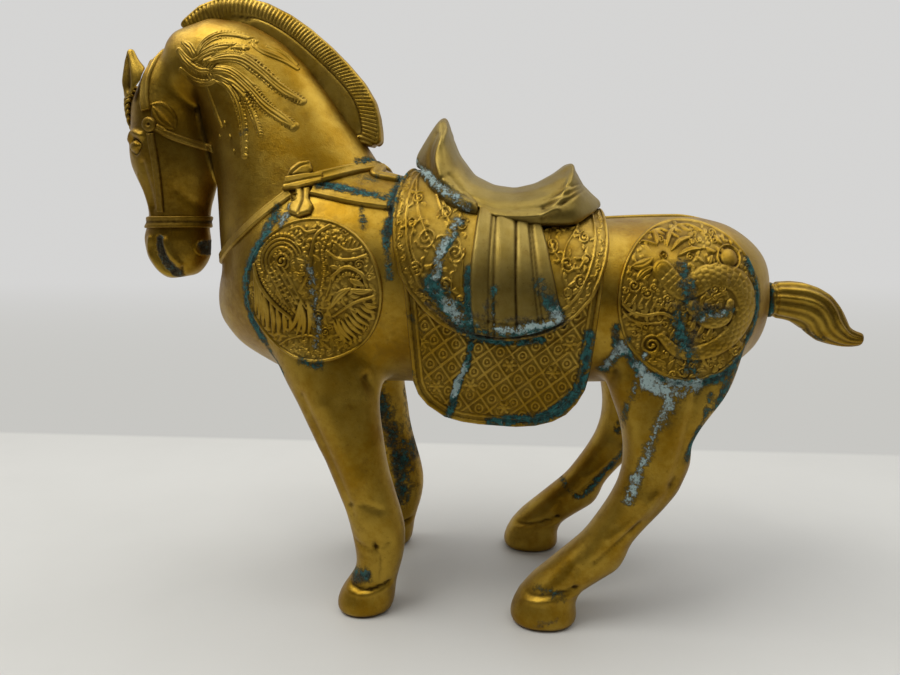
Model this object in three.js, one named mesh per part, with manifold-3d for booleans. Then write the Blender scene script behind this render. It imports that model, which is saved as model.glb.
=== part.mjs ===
// Cast bronze horse statue: a standing saddled horse, brazed together from separate castings.
// Millimetres. +Z is up, the horse faces -X, and its left side faces -Y. Z = 0 is the ground.

import * as THREE from 'three';
import { mergeVertices } from 'three/addons/utils/BufferGeometryUtils.js';
import Module from 'manifold-3d';

const wasm = await Module();
wasm.setup();

// ---------------------------------------------------------------- driving dimensions

const GAP = 0.3;                    // braze gap between neighbouring castings
const WALL = 3.6;                   // wall of the hollow body and head castings
const MUDGUARD = 2.2;               // plate thickness of a mudguard
const BLANKET = 4.0;                // outer face of the saddle blanket above the body
const SADDLE_COVER = 3.2;           // padding of the seat cover above the blanket
const MEDALLION = 1.8;              // height of a medallion above the body
const STRAP = 1.5;                  // height of a harness strap above what it lies on
const BREAST_STRAP_WIDTH = 5.5;
const CHEST_STRAP_WIDTH = 4.5;
const CRUPPER_WIDTH = 11;
const CROWN_STRAP_WIDTH = 5.5;
const BRIDLE_STRAP_WIDTH = 4.5;     // cheek and throat straps
const NOSEBAND_WIDTH = 6;
const ROSETTE_RADIUS = 4.2;
const ROLL_WIDTH = 9;               // rolls of the saddle's cover
const FRONT_LEAN = -3;              // right front hoof stands this far ahead of the left one
const HIND_LEAN = -5;               // right hind hoof stands this far ahead of the left one
const FRONT_SEAM = 93;              // height of the joint between a shoulder and its leg
const HIND_SEAM = 94;               // height of the joint between a haunch and its leg
const FAR = 200;                    // longer than anything that is cut

// Stations of each lofted casting: [x, y, z, plus, minus, side]. The section is square to the
// run of the casting. "side" is its half width along Y. Looking along the run with the horse
// facing left, "plus" is the reach to the left of the run, and "minus" the reach to the right.

const TORSO = [                     // runs chest to rump: plus is up, minus is down
  [-126, 0, 141, 10, 10, 10],
  [-121.5, 0, 140, 22, 22, 21],
  [-111, 0, 140, 35, 36, 33.5],
  [-94, 0, 143, 45, 48, 42],
  [-70, 0, 146, 49, 51, 45.5],
  [-46, 0, 146, 44, 51, 46],
  [-10, 0, 140, 38, 46, 46],
  [21, 0, 137, 33, 42, 45],
  [52, 0, 135.5, 34.5, 38.5, 44],
  [78, 0, 134, 37, 37.5, 44],
  [95, 0, 132, 35.5, 36, 39.5],
  [107, 0, 130, 28, 28, 30],
  [113.5, 0, 128.5, 20, 20, 18.5],
  [117.5, 0, 128, 10, 10, 9],
];

const NECK = [                      // runs up from the chest: plus is the throat, minus the crest
  [-84, 0, 155, 43, 42, 37],
  [-90, 0, 182, 39, 40, 31],
  [-97.5, 0, 203, 33, 33, 25.5],
  [-107, 0, 221, 28.5, 30, 21],
  [-119, 0, 234, 24, 26, 18.5],
  [-132, 0, 238.5, 19.5, 20.5, 16],
  [-143, 0, 234, 15, 16, 13.5],
];

const HEAD = [                      // runs down from the poll: plus is the jaw, minus the face
  [-139, 0, 240, 11, 10, 11],
  [-148, 0, 233, 13, 10.5, 12.5],
  [-153, 0, 223, 18, 13.5, 14],
  [-152, 0, 211, 20, 16.5, 15],
  [-150.5, 0, 201, 20.5, 20, 14.5],
  [-149, 0, 190, 20, 18, 13],
  [-148.5, 0, 180, 17, 15, 11],
  [-148.5, 0, 170, 14.3, 14.3, 9.6],
  [-150, 0, 159, 16.5, 16.5, 10.7],
  [-149.5, 0, 150, 15, 13, 10.5],
  [-148.5, 0, 143.5, 8, 7, 6.5],
];

const SHOULDER = [                  // runs down into the front leg: plus is the back
  [-79.5, -21, 139, 21, 25, 14.5],
  [-73, -27, 118, 22, 24, 14.5],
  [-67.5, -29.5, 101.5, 21.5, 21.5, 14.5],
  [-64.5, -31.5, 89, 17.5, 17, 13.5],
];

const HAUNCH = [                    // runs down into the hind leg: plus is the back
  [84, -19, 150, 22, 27, 16.5],
  [77, -27, 128.5, 28, 30, 17],
  [71.5, -32, 110, 28, 28, 14.5],
  [68, -34, 96, 24, 22, 14],
  [66.5, -36, 82, 15, 13, 12.5],
];

const FRONT_LEG = [                 // runs down: plus is the back of the leg, minus the front
  [-67.5, -29.5, 101.5, 21.5, 21.5, 14.5],
  [-64.5, -31.5, 89, 17.5, 17, 13.5],
  [-60, -33.5, 75, 14, 14, 12],
  [-56, -34.5, 61, 12, 12.3, 11],
  [-51.5, -35, 47, 11.5, 11.5, 10.3],
  [-48.8, -35, 36, 11.8, 11.8, 10],
  [-48.5, -35, 26, 10.6, 10.6, 9.5],
  [-50, -35, 17, 9.3, 9.3, 9.3],
  [-53, -35, 8.5, 11.5, 11.3, 11],
  [-55.5, -35, 2, 12.5, 12.5, 12.3],
  [-56, -35, -2, 12.3, 12.3, 12.3],
];

const HIND_LEG = [                  // runs down: plus is the back of the leg, minus the front
  [68, -34, 96, 24, 22, 14],
  [66.5, -36, 82, 15, 13, 12.5],
  [66.5, -37, 69, 14, 13, 11.2],
  [61.5, -37.5, 56.5, 10.5, 11, 10.3],
  [53.5, -37.5, 45, 9, 9.3, 9.6],
  [49.5, -37.5, 39.5, 9.5, 9, 9.3],
  [45, -37.5, 33.5, 12.5, 8.8, 9.3],
  [38, -37.5, 26.5, 10.5, 9, 9.5],
  [30, -37.5, 18.5, 9, 9.5, 10.2],
  [24.5, -37.5, 10, 13, 12.5, 12],
  [22.5, -37.5, 3, 15, 14.5, 13.3],
  [22, -37.5, -2, 15, 14.5, 13.3],
];

const TAIL = [                      // runs backwards: plus is the top, minus the underside
  [115, 0, 133.5, 7.5, 7.5, 7],
  [123, 0, 133.7, 8, 8, 7.5],
  [131.5, 0, 132.5, 9.3, 8.7, 8],
  [139.5, 0, 128.5, 9.5, 9.5, 8],
  [146, 0, 122, 8, 8, 7],
  [152.5, 0, 117.5, 4.5, 4.5, 4.5],
  [160, 0, 116.5, 2.8, 2.8, 2.5],
];

const MANE = [                      // runs back from the ears: plus is the outer edge
  [-151, 0, 240, 3, 3, 3],
  [-143.5, 0, 247, 4.5, 7.5, 4],
  [-133, 0, 257, 6, 8.5, 4.5],
  [-119, 0, 261, 6.5, 8.5, 5],
  [-103, 0, 256.5, 8, 8.5, 5],
  [-89, 0, 246, 10, 8.5, 5.5],
  [-76.5, 0, 233, 11.5, 8.5, 5.5],
  [-66, 0, 219, 12.5, 8.5, 5.5],
  [-61, 0, 209, 10.5, 8.5, 5.5],
  [-58, 0, 201, 7.5, 5, 5],
];

const EAR = [                       // runs up: plus is the front, minus the back
  [-159, -8.5, 218, 6, 5, 4.5],
  [-160, -9, 226, 6, 6, 5],
  [-161, -9.5, 234, 4.2, 4.5, 4],
  [-162, -9.5, 240, 2.4, 2.4, 2.4],
  [-162, -9.5, 245, 0.9, 0.9, 0.9],
];

const FORELOCK = [                  // runs down the forehead: plus is towards the skull
  [-165, 0, 230.5, 3, 2.5, 4],
  [-167, 0, 224, 5, 3.2, 7],
  [-167.5, 0, 217, 4.5, 2.5, 6.5],
  [-168, 0, 211, 2, 1.5, 3],
];

const SADDLE = [                    // runs backwards: plus is the top, side the arch's half width
  [-35.5, 0, 168, 30, 8, 10],
  [-31, 0, 168, 37, 8, 18],
  [-26, 0, 168, 44, 8, 26],
  [-22, 0, 168, 47, 8, 31],
  [-18.5, 0, 168, 34, 8, 33],
  [-8, 0, 168, 19.5, 8, 35.5],
  [7, 0, 168, 15, 8, 36.5],
  [21, 0, 168, 18, 8, 36],
  [32, 0, 168, 26, 8, 34],
  [36, 0, 168, 19, 8, 30],
  [41, 0, 168, 13, 8, 24],
  [46, 0, 168, 9, 8, 15],
];

// ---------------------------------------------------------------- solids

// A closed loft through stations, grown outwards on every side by "grow".
// "square" is the exponent of the section: 2 is an ellipse, and more is squarer.
function loft(stations, { grow = 0, rings = 20, segments = 20, square = 2, squareMinus = square } = {}) {
  const centres = new THREE.CatmullRomCurve3(stations.map(([x, y, z]) => new THREE.Vector3(x, y, z)));
  const reaches = new THREE.CatmullRomCurve3(stations.map((s) => new THREE.Vector3(s[3], s[4], s[5])));
  const positions = [];
  const index = [];
  for (let ring = 0; ring <= rings; ring++) {
    const t = ring / rings;
    const run = centres.getTangent(t);
    const centre = centres.getPoint(t);
    const ends = ring === 0 ? -grow : ring === rings ? grow : 0;
    centre.addScaledVector(run, ends);
    const reach = reaches.getPoint(t);
    const flat = Math.hypot(run.x, run.z);
    const left = new THREE.Vector3(-run.z / flat, 0, run.x / flat);
    for (let k = 0; k < segments; k++) {
      const turn = (2 * Math.PI * k) / segments;
      const power = 2 / (Math.cos(turn) < 0 ? squareMinus : square);
      const across = Math.sign(Math.cos(turn)) * Math.abs(Math.cos(turn)) ** power;
      const aside = Math.sign(Math.sin(turn)) * Math.abs(Math.sin(turn)) ** power;
      const length = (across > 0 ? reach.x : reach.y) + grow;
      const point = centre.clone().addScaledVector(left, across * length);
      point.y += aside * (reach.z + grow);
      positions.push(point.x, point.y, point.z);
      const next = (k + 1) % segments;
      const here = ring * segments;
      if (ring < rings) {
        index.push(here + k, here + next, here + segments + k);
        index.push(here + next, here + segments + next, here + segments + k);
      }
    }
  }
  for (const ring of [0, rings]) {
    const centre = centres.getPoint(ring / rings);
    centre.addScaledVector(centres.getTangent(ring / rings), ring === 0 ? -grow : grow);
    const hub = positions.length / 3;
    positions.push(centre.x, centre.y, centre.z);
    for (let k = 0; k < segments; k++) {
      const a = ring * segments + k;
      const b = ring * segments + ((k + 1) % segments);
      index.push(hub, ...(ring === 0 ? [b, a] : [a, b]));
    }
  }
  const geometry = new THREE.BufferGeometry();
  geometry.setAttribute('position', new THREE.Float32BufferAttribute(positions, 3));
  geometry.setIndex(index);
  return solid(geometry);
}

// A manifold solid from a three.js geometry, with its faces turned to point out.
function solid(geometry) {
  const bare = geometry.clone();
  bare.deleteAttribute('normal');
  bare.deleteAttribute('uv');
  const merged = mergeVertices(bare, 1e-4);
  const vertProperties = new Float32Array(merged.attributes.position.array);
  const triVerts = new Uint32Array(merged.index.array);
  const corner = (n) => new THREE.Vector3().fromArray(vertProperties, 3 * triVerts[n]);
  let volume = 0;
  for (let n = 0; n < triVerts.length; n += 3) {
    volume += corner(n).dot(corner(n + 1).cross(corner(n + 2)));
  }
  if (volume < 0) {
    for (let n = 0; n < triVerts.length; n += 3) {
      [triVerts[n + 1], triVerts[n + 2]] = [triVerts[n + 2], triVerts[n + 1]];
    }
  }
  return new wasm.Manifold(new wasm.Mesh({ numProp: 3, vertProperties, triVerts }));
}

// A prism of an outline in the side view (x, z), standing from y = low to y = high.
function prism(shape, low, high) {
  const geometry = new THREE.ExtrudeGeometry(shape, { depth: high - low, bevelEnabled: false, steps: 1 });
  geometry.rotateX(Math.PI / 2);
  geometry.translate(0, high, 0);
  return solid(geometry);
}

function block(lowX, lowY, lowZ, highX, highY, highZ) {
  const geometry = new THREE.BoxGeometry(highX - lowX, highY - lowY, highZ - lowZ);
  geometry.translate((lowX + highX) / 2, (lowY + highY) / 2, (lowZ + highZ) / 2);
  return solid(geometry);
}

function polygon(points) {
  return new THREE.Shape(points.map(([x, z]) => new THREE.Vector2(x, z)));
}

function ellipse(x, z, halfWidth, halfHeight, divisions = 40) {
  const curve = new THREE.EllipseCurve(x, z, halfWidth, halfHeight);
  return new THREE.Shape(curve.getPoints(divisions).slice(0, divisions));
}

// The outline of a strap of one width along a smooth line in the side view.
function strapOutline(points, width, divisions = 12) {
  const curve = new THREE.SplineCurve(points.map(([x, z]) => new THREE.Vector2(x, z)));
  const edge = (side, n) => {
    const t = n / divisions;
    const run = curve.getTangent(t);
    const at = curve.getPoint(t);
    return new THREE.Vector2(at.x - side * run.y * width / 2, at.y + side * run.x * width / 2);
  };
  const outline = [];
  for (let n = 0; n <= divisions; n++) outline.push(edge(1, n));
  for (let n = divisions; n >= 0; n--) outline.push(edge(-1, n));
  return new THREE.Shape(outline);
}

// A piece's geometry from a manifold solid.
function geometryOf(piece) {
  const { vertProperties, triVerts } = piece.getMesh();
  const geometry = new THREE.BufferGeometry();
  geometry.setAttribute('position', new THREE.BufferAttribute(new Float32Array(vertProperties), 3));
  geometry.setIndex(new THREE.BufferAttribute(new Uint32Array(triVerts), 1));
  return geometry;
}

// The same geometry on the other side of the horse.
function mirrored(geometry) {
  const other = geometry.clone();
  const { array } = other.attributes.position;
  for (let n = 1; n < array.length; n += 3) array[n] = -array[n];
  const { array: corners } = other.index;
  for (let n = 0; n < corners.length; n += 3) {
    [corners[n + 1], corners[n + 2]] = [corners[n + 2], corners[n + 1]];
  }
  return other;
}

// ---------------------------------------------------------------- the assembly

const horse = new THREE.Group();

const FINISH = {
  body: { color: 0x9a7428, roughness: 0.38, metalness: 1 },
  relief: { color: 0x86631f, roughness: 0.48, metalness: 1 },
  saddle: { color: 0xa8853a, roughness: 0.36, metalness: 1 },
  harness: { color: 0x907030, roughness: 0.45, metalness: 1 },
};

function add(name, geometry, finish) {
  geometry.computeVertexNormals();
  const mesh = new THREE.Mesh(geometry, new THREE.MeshStandardMaterial(FINISH[finish]));
  mesh.name = name;
  horse.add(mesh);
}

function addPiece(name, piece, finish) {
  add(name, geometryOf(piece), finish);
}

function addPair(name, leftPiece, finish) {
  const left = geometryOf(leftPiece);
  add(`${name}_left`, left, finish);
  add(`${name}_right`, mirrored(left), finish);
}

const LEFT_SIDE = block(-FAR, -FAR, -FAR, FAR, -GAP / 2, FAR + 100);
const leftPrism = (shape) => prism(shape, -FAR, -GAP);

// The other side of a casting's stations.
const otherSide = (stations) => stations.map(([x, y, ...rest]) => [x, -y, ...rest]);

// The whole outside of the body, neck, shoulders and haunches, grown by a distance.
function bodyOutside(grow) {
  const trunk = loft(TORSO, { grow, rings: 17, segments: 24 });
  let outside = trunk.add(loft(NECK, { grow, rings: 10, segments: 18 }));
  for (const [bulge, seam] of [[SHOULDER, FRONT_SEAM], [HAUNCH, HIND_SEAM]]) {
    const aboveSeam = block(-FAR, -FAR, seam - grow, FAR, FAR, FAR);
    outside = outside.add(loft(bulge, { grow, rings: 6, segments: 14 }).intersect(aboveSeam));
    outside = outside.add(loft(otherSide(bulge), { grow, rings: 6, segments: 14 }).intersect(aboveSeam));
  }
  return outside;
}

// The hollow inside the body casting, which is plainer than its outside.
const bodyHollow = loft(TORSO, { grow: -WALL, rings: 10, segments: 14 })
  .add(loft(NECK, { grow: -WALL, rings: 6, segments: 12 }));

// The barrel with sides that hang straight down from its widest line, grown by a distance.
const CURTAIN_DROP = 30;
const CURTAIN = TORSO.map(([x, y, z, plus, minus, side]) => [x, y, z, plus, minus + CURTAIN_DROP, side]);
const curtain = (grow) => loft(CURTAIN, { grow, rings: 17, segments: 24, squareMinus: 12 });
const headOutside = (grow) => loft(HEAD, { grow, rings: 14, segments: 16 });

// A layer that lies between two heights above the body, the curtain or the head.
const bodyLayer = (low, high) => bodyOutside(high).subtract(bodyOutside(low));
const curtainLayer = (low, high) => curtain(high).subtract(curtain(low));
const headLayer = (low, high) => headOutside(high).subtract(headOutside(low));
const clearOfBody = bodyOutside(1.5 * GAP);
const clearOfNeck = bodyOutside(3 * GAP);
const clearOfHead = headOutside(GAP);

// Body: two hollow half castings, joined on the middle plane.
function bodyHalf() {
  return bodyOutside(0).subtract(bodyHollow).intersect(LEFT_SIDE);
}
addPair('body_half', bodyHalf(), 'body');

// Head: one hollow casting, open where it meets the neck.
function head() {
  const hollow = loft(HEAD, { grow: -WALL, rings: 8, segments: 10 });
  return headOutside(0).subtract(hollow).subtract(clearOfNeck);
}
addPiece('head', head(), 'body');

// Legs: solid castings that butt against the shoulders and haunches, with flat soles.
function leg(stations, seam, lean) {
  const leant = (x, z) => x + lean * Math.max(0, 1 - z / seam);
  const leaning = stations.map(([x, y, z, ...reach]) => [leant(x, z), y, z, ...reach]);
  const standing = block(-FAR, -FAR, 0, FAR, FAR, seam - GAP);
  return loft(leaning, { rings: 18, segments: 14, square: 2.2 }).intersect(standing);
}
addPiece('front_leg_left', leg(FRONT_LEG, FRONT_SEAM, 0), 'body');
add('front_leg_right', mirrored(geometryOf(leg(FRONT_LEG, FRONT_SEAM, FRONT_LEAN))), 'body');
addPiece('hind_leg_left', leg(HIND_LEG, HIND_SEAM, 0), 'body');
add('hind_leg_right', mirrored(geometryOf(leg(HIND_LEG, HIND_SEAM, HIND_LEAN))), 'body');

addPiece('tail', loft(TAIL, { rings: 12, segments: 14 }).subtract(clearOfBody), 'body');

// Mane, ears and forelock.
const maneOutside = loft(MANE, { rings: 16, segments: 10, square: 4 });
const clearOfCrown = headOutside(GAP + STRAP + GAP);
addPiece('mane_crest', maneOutside.subtract(clearOfBody).subtract(clearOfCrown), 'relief');
addPair('ear', loft(EAR, { rings: 8, segments: 12 }).subtract(clearOfCrown), 'body');
addPiece('forelock', loft(FORELOCK, { rings: 8, segments: 12 }).subtract(clearOfHead), 'relief');

// Saddle blanket over the back, with a mudguard under each side of it.
const MUDGUARD_EDGE = [[-35, 150], [-33, 136], [-31.5, 104], [-26, 95], [-19, 89.5], [-5, 86], [10, 85],
  [25, 87.5], [34, 95], [39, 106], [41, 122], [44, 148]];
const BLANKET_EDGE = [[-34, 235], [-35, 196], [-39.5, 182], [-40, 167], [-36, 147], [-26, 132.5],
  [-13, 124], [0, 121.5], [14, 122], [27, 126], [39, 137], [45, 150], [46.5, 163], [46, 175], [45.5, 235]];
const MUDGUARD_MIDDLE = [5, 130];
const mudguardEdge = (grow) => polygon(MUDGUARD_EDGE.map(([x, z]) => [
  x + grow * Math.sign(x - MUDGUARD_MIDDLE[0]),
  z + grow * Math.sign(z - MUDGUARD_MIDDLE[1]),
]));
const mudguardPlate = curtainLayer(GAP, GAP + MUDGUARD).intersect(leftPrism(mudguardEdge(0)));
addPair('mudguard', mudguardPlate.subtract(clearOfBody), 'relief');

const underMudguard = curtain(MUDGUARD + 2 * GAP).intersect(prism(mudguardEdge(GAP), -FAR, FAR));
const blanketTop = BLANKET + GAP;
const blanket = curtainLayer(GAP, blanketTop)
  .intersect(prism(polygon(BLANKET_EDGE), -FAR, FAR))
  .subtract(underMudguard)
  .subtract(clearOfBody);
addPiece('saddle_blanket', blanket, 'relief');

// Saddle: seat with its pommel and cantle, rolls in front and behind, and a pleated drape each side.
const clearOfBlanket = curtain(blanketTop + GAP);
const coverTop = blanketTop + GAP + SADDLE_COVER;
const saddleOutside = (grow) => loft(SADDLE, { grow, rings: 18, segments: 18, square: 1.9 });
addPiece('saddle_seat', saddleOutside(0).subtract(clearOfBlanket), 'saddle');

const FRONT_ROLL = [[-39, 196], [-32, 188.5], [-22, 179], [-8, 169.5]];
const REAR_ROLL = [[47, 180], [41, 175.5], [31, 170.5], [17, 166.5]];
const frontRollLine = strapOutline(FRONT_ROLL, ROLL_WIDTH);
const rearRollLine = strapOutline(REAR_ROLL, ROLL_WIDTH);
const cover = curtain(coverTop).subtract(clearOfBlanket).subtract(saddleOutside(GAP));
const frontRoll = cover.intersect(prism(frontRollLine, -FAR, FAR)).subtract(clearOfBody);
addPiece('saddle_front_roll', frontRoll, 'saddle');
addPiece('saddle_rear_roll', cover.intersect(prism(rearRollLine, -FAR, FAR)), 'saddle');

const DRAPE_EDGE = [[-7, 172], [15, 170], [21, 157], [28.5, 129], [11, 125], [-6, 126], [-8, 150]];
const rollsClear = prism(strapOutline(FRONT_ROLL, ROLL_WIDTH + 2 * GAP), -FAR, FAR)
  .add(prism(strapOutline(REAR_ROLL, ROLL_WIDTH + 2 * GAP), -FAR, FAR));
const drape = cover.intersect(leftPrism(polygon(DRAPE_EDGE))).subtract(rollsClear);
addPair('pleated_drape', drape, 'saddle');

// Medallions brazed on the chest and on the rump: middle x and z, half width and half height.
const CHEST_MEDALLION = [-72.5, 140, 29.5, 29.5];
const RUMP_MEDALLION = [77, 137, 28, 31.5];
const medallion = (outline) => bodyLayer(GAP, GAP + MEDALLION).intersect(leftPrism(ellipse(...outline)));
addPair('chest_medallion', medallion(CHEST_MEDALLION), 'relief');
addPair('rump_medallion', medallion(RUMP_MEDALLION), 'relief');

// Breast harness: two straps forward from the blanket to a knot, and a chest strap from there.
const KNOT = { x: -79, z: 184, halfWidth: 6.5, halfHeight: 9.5 };
const UPPER_BREAST_LINE = [[-41, 194], [-58, 191], [-79, 187]];
const LOWER_BREAST_LINE = [[-42, 177], [-57, 179], [-79, 183]];
const CHEST_LINE = [[-80, 182], [-96, 170], [-113, 155], [-132, 147]];
const knotOutline = (grow) => ellipse(KNOT.x, KNOT.z, KNOT.halfWidth + grow, KNOT.halfHeight + grow);
const knotClear = leftPrism(knotOutline(GAP));
const strapLayer = bodyLayer(GAP, GAP + STRAP);
function strapOnBody(line, width) {
  return strapLayer.intersect(leftPrism(strapOutline(line, width))).subtract(knotClear);
}
const knot = bodyLayer(GAP, GAP + 2 * STRAP).intersect(leftPrism(knotOutline(0)));
addPair('breast_knot', knot, 'harness');
addPair('upper_breast_strap', strapOnBody(UPPER_BREAST_LINE, BREAST_STRAP_WIDTH), 'harness');
addPair('lower_breast_strap', strapOnBody(LOWER_BREAST_LINE, BREAST_STRAP_WIDTH), 'harness');
addPair('chest_strap', strapOnBody(CHEST_LINE, CHEST_STRAP_WIDTH), 'harness');

// Crupper strap along the croup, from behind the blanket.
const CRUPPER_START = 47;
const CRUPPER_END = 88;
const halfCrupper = CRUPPER_WIDTH / 2;
const aboveCroup = block(CRUPPER_START, -halfCrupper, TORSO[0][2], CRUPPER_END, halfCrupper, FAR);
addPiece('crupper_strap', strapLayer.intersect(aboveCroup), 'harness');

// Bridle: a crown strap over the poll, and on each side a rosette, a cheek strap and a throat strap.
const TEMPLE = [-152, 214];
const CROWN_LINE = [[-146, 250], [-151, 234], [-153, 223], TEMPLE];
const CHEEK_LINE = [TEMPLE, [-154.5, 193], [-154, 169]];
const THROAT_LINE = [TEMPLE, [-143, 207], [-122, 201]];
const NOSEBAND_LINE = [[-176, 169], [-149, 169], [-124, 168.5]];
const rosetteOutline = (grow) => ellipse(...TEMPLE, ROSETTE_RADIUS + grow, ROSETTE_RADIUS + grow, 20);
const rosettesClear = prism(rosetteOutline(GAP), -FAR, FAR);
const cheekClear = leftPrism(strapOutline(CHEEK_LINE, BRIDLE_STRAP_WIDTH + 2 * GAP));
const nosebandClear = prism(strapOutline(NOSEBAND_LINE, NOSEBAND_WIDTH + 2 * GAP), -FAR, FAR);
const bridleLayer = headLayer(GAP, GAP + STRAP).subtract(clearOfBody);
function strapOnHead(line) {
  return bridleLayer.intersect(leftPrism(strapOutline(line, BRIDLE_STRAP_WIDTH))).subtract(rosettesClear);
}
const aroundHead = (line, width) => bridleLayer.intersect(prism(strapOutline(line, width), -FAR, FAR));
const rosette = headLayer(GAP, GAP + 1.6 * STRAP).intersect(leftPrism(rosetteOutline(0)));
addPiece('crown_strap', aroundHead(CROWN_LINE, CROWN_STRAP_WIDTH).subtract(rosettesClear), 'harness');
addPair('rosette', rosette, 'harness');
addPair('cheek_strap', strapOnHead(CHEEK_LINE).subtract(nosebandClear), 'harness');
addPair('throat_strap', strapOnHead(THROAT_LINE).subtract(cheekClear), 'harness');
addPiece('noseband', aroundHead(NOSEBAND_LINE, NOSEBAND_WIDTH), 'harness');

// The origin lies under the middle of the statue, on the ground.
const extent = new THREE.Box3().setFromObject(horse);
horse.position.x = -(extent.min.x + extent.max.x) / 2;
horse.position.y = -(extent.min.y + extent.max.y) / 2;

export default horse;
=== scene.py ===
"""Bronze horse statue: the finished surface of every casting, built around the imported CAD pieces.

Shapes are worked out in millimetres in a drawing frame: x runs backwards from the plumb line through
the seat, y runs to the horse's right, and z is the height above the ground. The left side is drawn,
and the right side is its mirror image.
"""

import math

import bmesh
import bpy
import numpy as np
import openvdb
from mathutils import Matrix, Vector
from mathutils.bvhtree import BVHTree
from mathutils.geometry import delaunay_2d_cdt


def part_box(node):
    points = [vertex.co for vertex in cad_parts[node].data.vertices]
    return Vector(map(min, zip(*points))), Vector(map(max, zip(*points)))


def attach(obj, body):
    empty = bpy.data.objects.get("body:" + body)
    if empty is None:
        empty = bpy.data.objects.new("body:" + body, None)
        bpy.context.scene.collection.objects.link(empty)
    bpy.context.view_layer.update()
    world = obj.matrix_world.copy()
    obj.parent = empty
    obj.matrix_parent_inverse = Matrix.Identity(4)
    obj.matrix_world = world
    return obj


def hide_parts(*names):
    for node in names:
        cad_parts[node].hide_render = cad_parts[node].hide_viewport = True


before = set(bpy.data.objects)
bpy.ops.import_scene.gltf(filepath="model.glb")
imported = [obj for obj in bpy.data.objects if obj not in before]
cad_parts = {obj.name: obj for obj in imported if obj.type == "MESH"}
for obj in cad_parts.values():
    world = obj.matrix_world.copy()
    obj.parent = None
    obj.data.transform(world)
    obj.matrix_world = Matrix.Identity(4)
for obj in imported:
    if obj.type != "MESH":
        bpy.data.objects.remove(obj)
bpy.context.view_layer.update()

MM = 0.001
SEAT_AHEAD = 35.0                     # the mudguard's front edge is this far ahead of the plumb line
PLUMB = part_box("mudguard_left")[0].x / MM + SEAT_AHEAD
LEFT, RIGHT = -1.0, 1.0

# ---------------------------------------------------------------- meshes


def node_mesh(name):
    """A CAD node's vertices in the drawing frame, and its triangles."""
    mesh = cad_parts[name].data
    mesh.calc_loop_triangles()
    points = np.zeros(len(mesh.vertices) * 3)
    mesh.vertices.foreach_get("co", points)
    points = points.reshape(-1, 3) / MM
    points[:, 0] -= PLUMB
    corners = np.zeros(len(mesh.loop_triangles) * 3, np.int32)
    mesh.loop_triangles.foreach_get("vertices", corners)
    return points, corners.reshape(-1, 3)


def node_box(name):
    points, _ = node_mesh(name)
    return points.min(0), points.max(0)


def to_row(points):
    """Drawing frame to the row frame, in metres."""
    moved = np.array(points, float)
    moved[:, 0] += PLUMB
    return moved * MM


def make_piece(name, points, faces, material, node, masks, crease):
    """A finished piece from points in the drawing frame, standing for a CAD node."""
    mesh = bpy.data.meshes.new(name)
    mesh.from_pydata(to_row(points).tolist(), [], [list(map(int, f)) for f in faces])
    mesh.validate(clean_customdata=False)
    mesh.shade_smooth()
    mesh.set_sharp_from_angle(angle=math.radians(crease))
    for mask, values in masks.items():
        attribute = mesh.attributes.new(mask, "FLOAT", "POINT")
        attribute.data.foreach_set("value", np.asarray(values, np.float32))
    piece = bpy.data.objects.new(name, mesh)
    bpy.context.scene.collection.objects.link(piece)
    mesh.materials.append(material)
    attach(piece, "root")
    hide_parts(node)


def vertex_normals(points, faces):
    """Unit normals at the vertices of a mesh of triangles or quads."""
    faces = np.asarray(faces)
    across = points[faces[:, 2]] - points[faces[:, 0]]
    along = points[faces[:, -1]] - points[faces[:, 1]]
    face_normals = np.cross(across, along)
    normals = np.zeros_like(points)
    for corner in range(faces.shape[1]):
        for axis in range(3):
            normals[:, axis] += np.bincount(faces[:, corner], face_normals[:, axis], len(points))
    return normals / np.maximum(np.linalg.norm(normals, axis=1, keepdims=True), 1e-12)


def smooth_vertices(values, faces, rounds):
    """Values at vertices, averaged with their neighbours a few times."""
    faces = np.asarray(faces)
    starts = faces.ravel()
    ends = np.roll(faces, -1, axis=1).ravel()
    count = np.bincount(starts, minlength=len(values)) + np.bincount(ends, minlength=len(values))
    flat = values.reshape(len(values), -1).astype(float)
    for _ in range(rounds):
        total = np.empty_like(flat)
        for axis in range(flat.shape[1]):
            total[:, axis] = (np.bincount(starts, flat[ends, axis], len(flat))
                              + np.bincount(ends, flat[starts, axis], len(flat)))
        flat = 0.5 * flat + 0.5 * total / np.maximum(count, 1)[:, None]
    return flat.reshape(values.shape)


# ---------------------------------------------------------------- distance fields of the castings


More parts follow.
